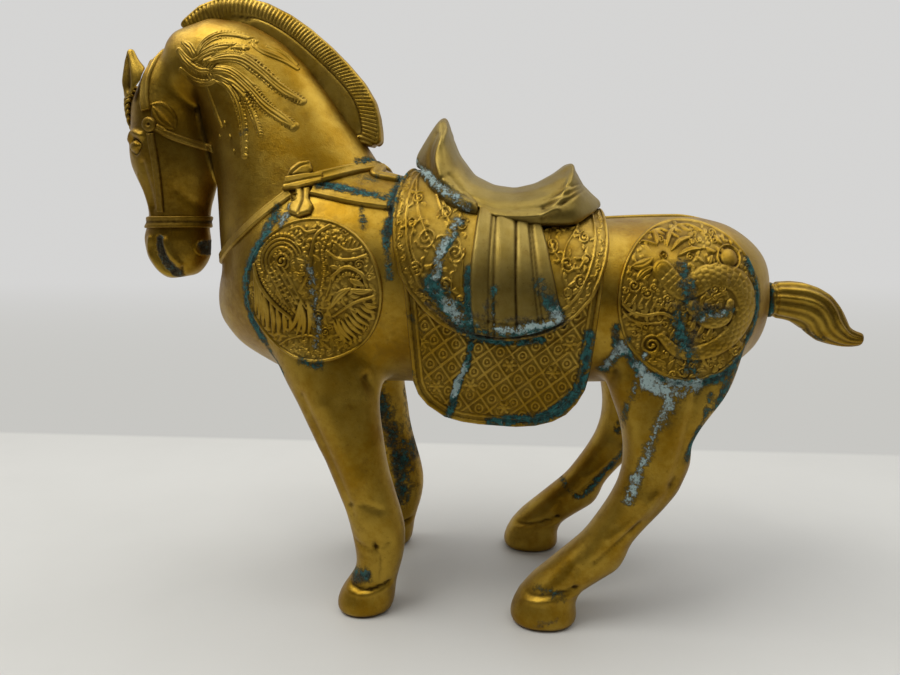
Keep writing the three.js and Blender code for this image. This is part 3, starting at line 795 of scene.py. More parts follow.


# ---------------------------------------------------------------- painted shade, black crust and corrosion, by place


TEAL_LEFT = [
    ([[-73, 152], [-71.6, 140], [-70.8, 128], [-72, 118]], 4.6, 0.52),      # chest medallion's middle
    ([[60, 105.6], [70, 101.6], [79, 103]], 5.5, 0.80),
    ([[-93, 163], [-101.4, 149], [-102.6, 132], [-98.6, 119]], 3.4, 1.0),   # chest medallion's front rim
    ([[-98.6, 119], [-95, 111], [-90, 104]], 2.6, 0.75),
    ([[-78, 110.6], [-71, 109.6]], 4.5, 0.8),
    ([[-89, 173], [-93, 163]], 5, 0.8),
    ([[-58, 194.4], [-48, 197], [-42, 196]], 3.5, 0.75),
    ([[-44, 197], [-39, 189], [-40.6, 178], [-41.4, 164]], 4.2, 1.0),     # behind the breast straps
    ([[-72, 183.4], [-60, 181.6], [-50, 179.2], [-44, 178]], 3.0, 0.8),
    ([[-60, 187], [-50, 186]], 5, 0.4),
    ([[-42, 162], [-40, 146]], 3, 0.75),
    ([[-38, 196], [-30, 189], [-20, 180.6], [-10, 173]], 4.4, 0.75),        # front roll
    ([[-13, 168], [-18, 158], [-20.6, 148], [-19, 140]], 5, 0.72),
    ([[-22, 144], [-17, 136], [-10, 129], [-7.6, 124]], 8, 0.85),
    ([[-8.6, 150], [-8.8, 138], [-7.4, 126]], 2.6, 0.9),
    ([[-6, 126.6], [8, 125.4], [27, 129]], 4.6, 0.95),                      # lower edge of the drape
    ([[18, 144], [24, 135], [26.4, 130]], 5.5, 0.75),
    ([[1.5, 142], [0.6, 130]], 3, 0.7),
    ([[-7, 122.6], [8, 120.2], [20, 121.4]], 2.6, 0.9),
    ([[-7.6, 120], [-9, 113], [-13, 104], [-15.6, 94], [-17.6, 88.6]], 2.6, 0.92),    # down the mudguard
    ([[38.4, 123], [36.6, 106], [31, 96], [22, 89.4], [8, 87.6], [0, 87]], 4.2, 0.95),
    ([[-33, 132], [-27, 125]], 2.5, 0.4),
    ([[-32, 108], [-30, 98]], 3, 0.45),
    ([[74, 149], [76, 138], [80, 131]], 6.5, 0.72),                         # middle of the rump medallion
    ([[72, 131], [74, 120], [78, 111]], 7, 0.72),
    ([[80, 132], [92, 133]], 4.5, 0.7),
    ([[50.4, 121], [57, 111.6], [67, 106.2], [78, 105], [90, 107.6], [99, 115.4]], 3.2, 1.0),
    ([[99, 115.4], [104.4, 126], [105, 140], [101, 152]], 3.0, 0.9),
    ([[49, 126], [50.6, 116]], 4, 0.7),
    ([[46, 108], [51, 118]], 4, 0.65),
    ([[72, 103], [70, 96], [66, 88]], 5, 0.62),                             # streaks down the leg
    ([[56, 62], [54, 56]], 3, 0.5),
    ([[86, 100], [84, 90], [78, 74]], 3.2, 0.72),
    ([[96, 112], [92, 101], [88, 94]], 4.6, 0.75),
    ([[119, 126], [119, 142]], 2.2, 0.8),                                   # tail root
    ([[132, 121.4], [142, 117]], 2.4, 0.6),
    ([[-57.6, 17.6], [-53, 19]], 5.0, 0.85),                                # front pastern
    ([[-71, 66], [-67, 54]], 3, 0.5),
    ([[-108, 205.4], [-105, 207]], 2.2, 0.5),
    ([[20, 17], [30, 15]], 5, 0.45),
    ([[54, 96], [52, 84]], 3, 0.45),
]

CHALK_LEFT = [
    ([[-73, 152], [-71.6, 140], [-70.8, 128], [-72, 118]], 5, 0.9),
    ([[60, 105.6], [70, 101.6], [79, 103]], 6, 1.2),
    ([[-38, 195], [-30, 189], [-20, 180.6], [-8, 171]], 4, 1.0),
    ([[-86, 168], [-84, 174], [-82, 179]], 3.5, 0.9),
    ([[-14, 168], [-19, 158], [-21.4, 148]], 4, 0.9),
    ([[-17, 137], [-13, 131]], 4, 0.8),
    ([[-4, 131], [8, 127.6], [26, 131]], 4.6, 1.1),
    ([[-11, 111], [-15, 99]], 2.6, 1.0),
    ([[50, 100], [47, 92]], 2.6, 0.8),
    ([[45, 110], [52, 119]], 3.5, 1.0),
    ([[57, 113], [66, 107.4], [76, 104]], 4, 0.6),
    ([[71, 102], [68, 94], [64, 84], [59.6, 70], [55, 57]], 4.6, 1.2),
    ([[62, 118], [58, 106], [56, 96]], 3.0, 0.9),
    ([[80, 128], [90, 133]], 3.4, 0.6),
]

PALE_LEFT = [                         # pale films over clean metal
    ([[71, 103], [68, 95], [64, 84], [59.6, 70], [55.4, 57]], 4.0, 0.72),
    ([[60, 116], [57, 106], [55.6, 98]], 2.4, 0.60),
    ([[44, 108], [50, 116], [54, 122]], 3.0, 0.62),
    ([[-86, 167], [-83.6, 174]], 4, 0.62),
    ([[-52.6, 173], [-51.6, 166]], 3.4, 0.58),
]

TEAL_RIGHT = [
    ([[-62, 92], [-58, 74], [-52, 56], [-48, 40], [-50, 26]], 11, 0.62),    # right front leg
    ([[-46, 84], [-44, 66], [-43, 50]], 5, 0.6),
    ([[-90, 164], [-101.4, 149], [-102.6, 132]], 3.4, 0.85),
    ([[-44, 197], [-39, 189], [-40.6, 178], [-41.4, 164]], 4.2, 0.85),
    ([[-36, 195], [-20, 180.6], [-6, 170]], 4.4, 0.65),
    ([[2, 150], [6, 134], [12, 124]], 6, 0.65),
    ([[-32, 112], [-24, 94], [-4, 87], [22, 89]], 4, 0.8),
    ([[56, 112], [70, 105], [90, 107.6], [104.4, 126]], 3.4, 0.9),
    ([[78, 150], [88, 134]], 7, 0.65),
    ([[72, 102], [66, 84], [60, 66]], 4, 0.7),
    ([[34, 36], [42, 30], [52, 40], [62, 54], [70, 72]], 3.4, 0.7),
    ([[119, 126], [119, 142]], 2.2, 0.8),
]


SPREAD = 1.35                         # how much wider the soft edges are than the lines above


def painted(*groups):
    """A side-view sheet of how strongly each place is marked."""
    sheet = Sheet([-185, -5], [175, 275], 0.6)
    for group in groups:
        for line, width, amount in group:
            before = sheet.height.copy()
            sheet.height[:] = 0
            sheet.swell(line, SPREAD * width, amount)
            sheet.height = np.maximum(before, sheet.height)
    return sheet


# Dark marks: black crust, and painted shade in the nostril, the corner of the mouth, under the eye's upper
# lid and along the blanket's lower edge.
DARK_LEFT = [
    ([[-153.7, 160.6], [-153.6, 156.4], [-151.4, 150.6], [-147.8, 145.8]], 4.0, 1.5),   # nostril, painted shade inside it
    ([[-134.9, 158.2], [-134.3, 156]], 3.8, 1.6),                           # corner of the mouth, painted shade in its hole
    # painted shade under the eye's upper lid
    ([[-163.4, 203.4], [-160.6, 203.8]], 1.0, 0.5),
    ([[84, 140], [94, 148]], 5, 0.45),
    ([[66, 126], [72, 118]], 6, 0.5),
    ([[73, 151], [75, 143], [79, 131], [77, 120]], 7, 0.62),
    ([[79, 134], [92, 134.6]], 5, 0.62),
    ([[66, 137], [74, 134]], 4, 0.6),
    ([[-6, 131.4], [8, 129.6], [26, 132.6]], 4, 0.62),
    ([[19.6, 143], [24.6, 135.6]], 4.6, 0.66),
    ([[-1, 137], [-1.6, 131]], 4.0, 0.6),
    # painted shade along the lower edge of the blanket and drape, over the mudguard
    ([[-25, 136], [-12, 126], [2, 122.6], [18, 124], [30, 129.6]], 2.4, 0.8),
    ([[-44.4, 198], [-39.6, 188], [-41, 172], [-41.6, 160]], 2.6, 0.8),
    ([[-62, 186], [-52, 184]], 4.5, 0.5),
    ([[-59, 15.6], [-52, 19]], 4.4, 0.8),
    ([[-98.6, 119], [-95, 111], [-90, 104]], 1.4, 0.7),
    ([[50.4, 121], [57, 111.6], [67, 106.2], [78, 105], [90, 107.6], [99, 115.4]], 1.6, 0.7),
    ([[48.6, 125], [50.4, 116.6]], 3.4, 0.75),
    ([[28, 6], [18, 3]], 3.6, 0.6),
    ([[-76, 62], [-70, 50]], 2.4, 0.45),
    ([[-136, 208], [-130, 214]], 1.2, 0.4),
]

DARK_RIGHT = [
    ([[-64, 92], [-59, 74], [-53, 56], [-50, 40], [-50, 26]], 9, 0.66),
    ([[-46, 84], [-43, 64], [-43, 48]], 5, 0.72),
    ([[-44.4, 198], [-39.6, 188], [-41, 172], [-41.6, 160]], 2.6, 0.8),
    ([[56, 112], [70, 105], [90, 107.6]], 2.4, 0.7),
    ([[0, 140], [6, 130]], 5, 0.6),
]

# Painted shade: brown laid over places that lie in shade, the same on both sides.
SHADE_LEFT = [
    ([[-147, 207], [-147, 190], [-146, 170]], 24, 1.0),                     # flank of the head
    ([[-132, 226], [-125, 204], [-119, 180]], 13, 0.8),                     # throat
    ([[-106, 160], [-111, 142], [-104, 122]], 12, 0.7),                     # breast
    ([[-96, 112], [-84, 92], [-70, 62]], 10, 0.45),                         # front of the leg
    ([[100, 100], [84, 74], [66, 50]], 12, 0.6),                            # back of the hind leg
    ([[-34, 118], [-32, 140]], 9, 0.5),
]

MARKS = {
    # painted shade over places in shade
    "patina": (painted(SHADE_LEFT), painted(SHADE_LEFT)),
    # black crust, with the painted shade of the nostril and the mouth on both sides
    "dark": (painted(DARK_LEFT), painted(DARK_RIGHT, DARK_LEFT[:2])),
    "corrosion": (painted(TEAL_LEFT, PALE_LEFT), painted(TEAL_RIGHT)),
    "chalk": (painted(CHALK_LEFT), painted(CHALK_LEFT[:6])),
}


def marked(kind, points):
    left, right = (sheet.sample(points[:, 0], points[:, 2]) for sheet in MARKS[kind])
    share = ramp(points[:, 1], -3, 3)
    return np.clip(left * (1 - share) + right * share, 0, 1.5)


# ---------------------------------------------------------------- bronze


class Graph:
    """The nodes of a material or of the world, over a place in the object or a direction."""

    def __init__(self, tree, coordinates="Object"):
        self.nodes, self.links = tree.nodes, tree.links
        self.place = self.nodes.new("ShaderNodeTexCoord").outputs[coordinates]

    def feed(self, value, socket):
        """Gives a socket a number, a colour or another node's output."""
        if isinstance(value, (int, float)):
            socket.default_value = value
        elif isinstance(value, tuple):
            socket.default_value = (*value, 1)
        else:
            self.links.new(value, socket)

    def math(self, operation, *values, clamp=False):
        node = self.nodes.new("ShaderNodeMath")
        node.operation = operation
        node.use_clamp = clamp
        for socket, value in zip(node.inputs, values):
            self.feed(value, socket)
        return node.outputs[0]

    def times(self, a, b, clamp=False):
        return self.math("MULTIPLY", a, b, clamp=clamp)

    def add_share(self, share, amount, value, clamp=False):
        """value + share * amount."""
        return self.math("MULTIPLY_ADD", share, amount, value, clamp=clamp)

    def mask(self, attribute):
        node = self.nodes.new("ShaderNodeAttribute")
        node.attribute_name = attribute
        return node.outputs["Fac"]

    def axes(self):
        """The place, or the direction, as X, Y and Z."""
        node = self.nodes.new("ShaderNodeSeparateXYZ")
        self.links.new(self.place, node.inputs[0])
        return node.outputs

    def noise(self, size, detail, roughness):
        """Noise whose largest features are about this many millimetres across."""
        node = self.nodes.new("ShaderNodeTexNoise")
        node.inputs["Scale"].default_value = 1.0 / (size * MM)
        node.inputs["Detail"].default_value = detail
        node.inputs["Roughness"].default_value = roughness
        self.links.new(self.place, node.inputs["Vector"])
        return node.outputs["Fac"]

    def between(self, value, low, high):
        """0 below low, 1 above high."""
        node = self.nodes.new("ShaderNodeMapRange")
        node.interpolation_type = "SMOOTHSTEP"
        node.inputs["From Min"].default_value = low
        node.inputs["From Max"].default_value = high
        self.links.new(value, node.inputs["Value"])
        return node.outputs["Result"]

    def spots(self, size, low, high, strength, detail=4.0):
        return self.times(self.between(self.noise(size, detail, 0.7), low, high), strength)

    def ragged(self, value, sizes, near=1.0):
        """A value whose edges are broken up by noise of several sizes and amounts."""
        for size, amount in sizes:
            rough = self.math("SUBTRACT", self.noise(size, 4, 0.65), 0.5)
            value = self.add_share(self.times(rough, near), amount, value)
        return value

    def mixed(self, share, first, second):
        """A mix of two colours, each an output or a colour."""
        node = self.nodes.new("ShaderNodeMix")
        node.data_type = "RGBA"
        for name, value in (("Factor", share), (6, first), (7, second)):
            self.feed(value, node.inputs[name])
        return node.outputs[2]

    def layered(self, colour, layers):
        """A colour with others laid over it, each with its own share."""
        for share, over in layers:
            colour = self.mixed(share, colour, over)
        return colour


BROWN_CAST, BROWN_SPECKS, RUST = (0.17, 0.095, 0.012), (0.13, 0.075, 0.012), (0.16, 0.050, 0.012)
# On the next line, the first colour is painted shade for places in shade, and the second is painted shade
# with patina for the hollows.
SHADE_BROWN, HOLLOW_SHADE, TARNISH = (0.105, 0.050, 0.003), (0.050, 0.027, 0.005), (0.080, 0.064, 0.024)
TEAL_DARK, TEAL_PALE, CHALK = (0.007, 0.050, 0.050), (0.024, 0.150, 0.148), (0.46, 0.60, 0.60)
OCHRE_CRUST, BLACK_CRUST = (0.22, 0.20, 0.060), (0.022, 0.020, 0.012)
# The colours on the next line are black crust, also used as painted shade.
CRUST_AND_SHADE_DARK, CRUST_AND_SHADE_PALE, CRUST_AND_SHADE_TEAL = (0.010, 0.009, 0.006), (0.060, 0.050, 0.026), (0.030, 0.095, 0.095)


def bronze(name, gold, worn, roughness, grain, stain):
    """Cast bronze: worn gold on the high places, brown patina with painted shade in the hollows, brown
    painted shade over places in shade, black crust with painted shade in the dark places, and green
    corrosion.
    """
    material = bpy.data.materials.new(name)
    material.use_nodes = True
    graph = Graph(material.node_tree)
    shader = graph.nodes["Principled BSDF"]
    fine = graph.noise(2.2, 5, 0.7)
    speckle = graph.noise(0.6, 3, 0.6)

    # painted shade, with patina: the hollows are darkened
    hollow = graph.times(graph.mask("hollow"), graph.math("ADD", fine, 0.55), clamp=True)
    colour = graph.layered(gold, (
        (graph.spots(26, 0.36, 0.64, 1.0, 5), worn),
        (graph.spots(11, 0.50, 0.74, stain, 5), BROWN_CAST),
        (graph.spots(1.3, 0.60, 0.72, 0.45, 3), BROWN_SPECKS),
        # painted shade: brown over the places in shade
        (graph.times(graph.mask("patina"), graph.math("ADD", fine, 0.15), clamp=True), SHADE_BROWN),
        (hollow, HOLLOW_SHADE),
        (graph.spots(6, 0.69, 0.80, 0.6), RUST),
    ))

    reach = graph.math("ADD", graph.mask("corrosion"), graph.times(graph.mask("hollow"), 0.10))
    near = graph.add_share(graph.mask("corrosion"), 0.8, 0.22)
    reach = graph.ragged(reach, ((8, 2.2), (2.6, 2.0), (0.9, 1.1)), near)
    green = graph.times(graph.between(reach, 0.48, 0.82), 0.93)
    tarnish = graph.times(graph.between(reach, 0.22, 0.58), 0.75)
    chalk = graph.add_share(graph.mask("chalk"), 0.34, graph.noise(3.4, 5, 0.75))
    crust = graph.layered(TEAL_DARK, (
        (graph.spots(2.6, 0.42, 0.62, 1.0, 5), TEAL_PALE),
        (graph.times(graph.between(chalk, 0.60, 0.74), 0.85), CHALK),
        (graph.spots(4.4, 0.62, 0.74, 0.6), OCHRE_CRUST),
        (graph.spots(1.5, 0.54, 0.66, 0.85), BLACK_CRUST),
    ))
    # black crust, and painted shade where the dark marks lie in the nostril, mouth, eye and along the
    # blanket's edge
    crust_and_shade = graph.ragged(graph.mask("dark"), ((7, 0.9), (1.6, 0.9)))
    crust_and_shade = graph.times(graph.between(crust_and_shade, 0.42, 0.90), 0.9)
    dark_crust_and_shade = graph.layered(CRUST_AND_SHADE_DARK, (
        (graph.spots(1.2, 0.42, 0.60, 1.0), CRUST_AND_SHADE_PALE),
        (graph.spots(2.4, 0.55, 0.64, 0.8), CRUST_AND_SHADE_TEAL),
    ))
    colour = graph.layered(colour, ((tarnish, TARNISH), (green, crust), (crust_and_shade, dark_crust_and_shade)))
    graph.feed(colour, shader.inputs["Base Color"])

    # crust and the painted shade of the dark marks leave the bronze dull and not metallic
    crusted = graph.math("MAXIMUM", green, graph.times(crust_and_shade, 0.9))
    graph.feed(graph.add_share(crusted, -0.97, 1.0), shader.inputs["Metallic"])
    dull = graph.add_share(fine, 0.24, roughness - 0.12)
    for share, amount in ((hollow, 0.22), (tarnish, 0.25), (crusted, 0.40)):
        dull = graph.add_share(share, amount, dull, clamp=True)
    graph.feed(dull, shader.inputs["Roughness"])

    skin = graph.add_share(speckle, 0.5, graph.times(fine, 0.7))
    rough_crust = graph.times(crusted, graph.math("ADD", speckle, fine))
    bump = graph.nodes.new("ShaderNodeBump")
    bump.inputs["Strength"].default_value = grain
    bump.inputs["Distance"].default_value = 0.18 * MM
    graph.feed(graph.add_share(rough_crust, 2.6, skin), bump.inputs["Height"])
    graph.feed(bump.outputs["Normal"], shader.inputs["Normal"])
    return material


SMOOTH = bronze("bronze_smooth", (0.27, 0.146, 0.008), (0.40, 0.256, 0.036), 0.42, grain=0.9, stain=0.6)
RELIEF = bronze("bronze_relief", (0.31, 0.180, 0.014), (0.44, 0.288, 0.048), 0.45, grain=0.7, stain=0.65)
SADDLE = bronze("bronze_saddle", (0.23, 0.158, 0.032), (0.28, 0.206, 0.056), 0.48, grain=0.7, stain=0.4)
STRAPS = bronze("bronze_straps", (0.33, 0.200, 0.020), (0.44, 0.290, 0.054), 0.50, grain=0.7, stain=0.5)


# ---------------------------------------------------------------- pieces


def finished(node, piece, material, crease, name=None):
    """A finished piece, named after the node it replaces. A piece is its points, faces and hollows."""
    points, faces, hollow = piece
    masks = {"hollow": hollow}
    masks.update({kind: marked(kind, points) for kind in MARKS})
    make_piece(f"{name or node}_cast", points, faces, material, node, masks, crease)


def finished_pair(node, piece, material, crease, name=None):
    """The left piece, and its mirror image on the right."""
    points, faces, hollow = piece
    for side, half in (("left", piece), ("right", (*mirrored(points, faces), hollow))):
        finished(f"{node}_{side}", half, material, crease, name and f"{name}_{side}")


def surface_hollows(points, faces, rounds=12, depth=0.35):
    """How far each vertex lies in a hollow of the surface, from 0 to 1."""
    around = smooth_vertices(points, faces, rounds)
    normals = vertex_normals(points, faces)
    return np.clip(((around - points) * normals).sum(1) / depth - 0.15, 0, 1)


def build_casting():
    """Body halves, head and legs, from one smooth surface. Returns the skin that other pieces lie on."""
    field = casting_field()
    points, quads = field.surface()
    points = carve(points, quads)
    head_part = field.resampled(*HEAD_REGION, HEAD_VOXEL)
    head_points, head_quads = head_part.surface()
    head_points = carve(head_points, head_quads)
    skin = Skin(points, quads)
    head_skin = Skin(head_points, head_quads)

    whole = mesh_of(points, quads)
    cut_head_off(whole, keep_head=False)
    cut_away(whole, (0, 0, SEAM), (0, 0, 1.0))
    for part_points, part_faces in islands(*arrays_of(whole)):
        middle = (part_points.min(0) + part_points.max(0)) / 2
        end = "front" if middle[0] < 0 else "hind"
        side = "left" if middle[1] < 0 else "right"
        if len(part_points) > SCRAP:
            finished_part(f"{end}_leg_{side}", part_points, part_faces)
    whole.free()

    for side, name in ((LEFT, "left"), (RIGHT, "right")):
        half = mesh_of(points, quads)
        cut_head_off(half, keep_head=False)
        cut_away(half, (0, 0, SEAM), (0, 0, -1.0))
        cut_away(half, (0, HALVES_GAP * side, 0), (0, -side, 0))
        part = max(islands(*arrays_of(half)), key=lambda p: len(p[0]))
        finished_part(f"body_half_{name}", *part)
        half.free()

    head = mesh_of(head_points, head_quads)
    cut_head_off(head, keep_head=True)
    part = max(islands(*arrays_of(head)), key=lambda p: len(p[0]))
    finished_part("head", *part)
    head.free()
    return skin, head_skin


def finished_part(node, points, faces):
    finished(node, (points, faces, surface_hollows(points, faces)), SMOOTH, crease=60)


def cut_head_off(mesh, keep_head):
    """Cuts between head and neck, on the plane from the throat to the poll."""
    run = POLL - THROAT
    normal = np.array([-run[1], 0, run[0]]) / np.hypot(*run)
    ahead = Vector(normal) if not keep_head else -Vector(normal)
    joint = (THROAT[0], 0, THROAT[1])
    near_neck = THROAT[1] - 1.5
    cut_away(mesh, joint, tuple(ahead), within=lambda at: at.z > near_neck and at.x < -100)


# ---------------------------------------------------------------- laying plates and straps

PLATE_STEP = 0.28
BURIED = -0.15                        # a plate's underside is brazed this far into what it lies on
STRAP_ROUND = 0.35                    # a strap is this share lower at its edges
RELIEF_DEPTH = 0.45                   # a hollow this deep gets the full painted shade


def side_plate(skin, low, high, edge, top, step=PLATE_STEP, corner=0.9, soft=1.0):
    """A plate on the left side of a skin. edge and top give, for arrays of x and z, how far each
    place lies in from the plate's edge, and how high the plate stands."""
    x, z = lattice(low, high, step)
    places = blur_lattice(skin.beside(x, z), 2.5)
    inside = edge(x, z)
    height = top(x, z, inside)
    return plate(places, inside, height, BURIED, hollows_of(height, step), corner, soft)


def hollows_of(height, step, sigma=1.1):
    return np.clip((blur_lattice(height, sigma / step) - height) / RELIEF_DEPTH, 0, 1)


def ellipse_edge(x, z, shape):
    """The distance in from the edge of an ellipse: middle x and z, half width and half height."""
    share = np.hypot((x - shape[0]) / shape[2], (z - shape[1]) / shape[3])
    return (1 - share) * min(shape[2], shape[3])


def ribbon(skin, line, width, step, outline, top=1.6, back=BURIED, lift=10.0):
    """A strap of one width laid on a skin along a line of points in space, from a small lift above it."""
    line = np.array(line, float)
    lengths = lengths_along(line)
    count = int(lengths[-1] / step) + 2
    at = np.linspace(0, lengths[-1], count)
    centre = np.stack([np.interp(at, lengths, line[:, axis]) for axis in range(3)], axis=1)
    pace = at[1]
    normals = np.array([skin.tree.find_nearest(p)[1][:] for p in centre.tolist()])
    normals = smooth_run(normals, 4.0 / pace)
    centre = smooth_run(centre, 1.5 / pace, True)
    along = np.gradient(centre, axis=0)
    across = unit(np.cross(normals, along))
    normals = unit(np.cross(along, across))
    reach = 0.5 * width + step
    s = np.linspace(-reach, reach, int(2 * reach / step) + 1)
    starts = centre[:, None] + across[:, None] * s[None, :, None] + lift * normals[:, None]
    ways = -np.broadcast_to(normals[:, None], starts.shape)
    places = skin.hits(starts.reshape(-1, 3), ways.reshape(-1, 3)).reshape(starts.shape)
    places = blur_lattice(places, 1.5)
    ends = np.minimum(at, lengths[-1] - at)[:, None] + 0 * s[None, :]
    edge = 0.5 * width - np.abs(s)[None, :] + 0 * ends
    inside = np.minimum(edge, ends)
    share = np.clip(np.abs(s) / (0.5 * width), 0, 1)
    height = top - STRAP_ROUND * top * share[None, :] ** 2 + 0 * ends
    height = height + outline(at[:, None] + 0 * ends, s[None, :] + 0 * ends)
    return plate(places, inside, height, back, hollows_of(height, step, 0.7), corner=0.7, soft=0.8)


def smooth_run(values, cells, hold_ends=False):
    """Averages a run of vectors along itself."""
    radius = max(1, int(2.5 * cells))
    weights = np.exp(-0.5 * (np.arange(-radius, radius + 1) / cells) ** 2)
    weights /= weights.sum()
    kind = {"mode": "reflect", "reflect_type": "odd"} if hold_ends else {"mode": "edge"}
    radius = min(radius, len(values) - 1)
    weights = weights[len(weights) // 2 - radius:len(weights) // 2 + radius + 1]
    weights /= weights.sum()
    padded = np.pad(values, [(radius, radius), (0, 0)], **kind)
    return sum(w * padded[n:n + len(values)] for n, w in enumerate(weights))


def on_side(skin, line):
    """A smooth side-view line, laid on the left side of a skin."""
    flat = spline(np.array(line, float), 10)
    return skin.beside(flat[:, 0], flat[:, 1])


def soft_node(name, voxel, blur):
    """A CAD node with its facets rounded away. Returns the surface's points and quads."""
    low, high = node_box(name)
    field = Field(low, high, voxel, 3.0)
    field.add(*node_mesh(name))
    volume = (field.values < 0).sum()
    field.values = field.blurred(blur)
    lost = np.sort(field.values.ravel())[volume]
    field.values -= min(lost, 0.45 * blur)
    return field.surface()


def triangles_of(faces):
    faces = np.asarray(faces)
    return np.vstack([faces[:, :3], faces[:, [0, 2, 3]]]) if faces.shape[1] == 4 else faces


# ---------------------------------------------------------------- medallions

CHEST_MEDALLION = (-72.5, 140, 29.5, 29.5)
RUMP_MEDALLION = (77, 137, 28, 31.5)
MEDALLION_GROUND, MEDALLION_RIM = 0.95, 1.45


def fill_with_curls(sheet, shape, spacing, size, height, seed):
    """Small curls wherever an ellipse is still bare."""
    chance = np.random.default_rng(seed)
    taken = sheet.height > 0.15
    for x in np.arange(shape[0] - shape[2], shape[0] + shape[2], spacing):
        for z in np.arange(shape[1] - shape[3], shape[1] + shape[3], spacing):
            at = np.array([x, z]) + chance.uniform(-0.3, 0.3, 2) * spacing
            if np.hypot((at[0] - shape[0]) / shape[2], (at[1] - shape[1]) / shape[3]) > 0.93:
                continue
            i, j = ((at - sheet.low) / sheet.step).astype(int)
            reach = int(0.6 * size / sheet.step)
            if taken[i - reach:i + reach + 1, j - reach:j + reach + 1].mean() > 0.35:
                continue
            turn = chance.uniform(0, 360)
            if chance.random() < 0.55:
                radius = size * chance.uniform(0.7, 1.1)
                sheet.curl(at, radius, 1.3, turn, 0.7, height, hand=chance.choice([-1, 1]))
            else:
                way = size * 1.3 * toward(turn)
                sheet.leaf(at - way, at + way, 1.5, height, bend=chance.uniform(-0.3, 0.3))


def arc(centre, radius, start, end):
    angle = np.radians(np.linspace(start, end, 13))
    return np.stack([centre[0] + radius * np.cos(angle), centre[1] + radius * np.sin(angle)], axis=1)


def beads(sheet, line, spacing, radius, height):
    run = spline(line, 12)
    for at in np.arange(spacing / 2, lengths_along(run)[-1], spacing):
        sheet.dome(point_at(run, at), radius, height)


def feathers(sheet, roots, tips, count, width, height, bend=0.06):
    """Feathers side by side, from a line of roots to a line of tips."""
    roots, tips = spline(roots, 12), spline(tips, 12)
    for share in np.linspace(0, 1, count):
        a = roots[int(round(share * (len(roots) - 1)))]
        b = tips[int(round(share * (len(tips) - 1)))]
        sheet.leaf(a, b, width, height, bend)


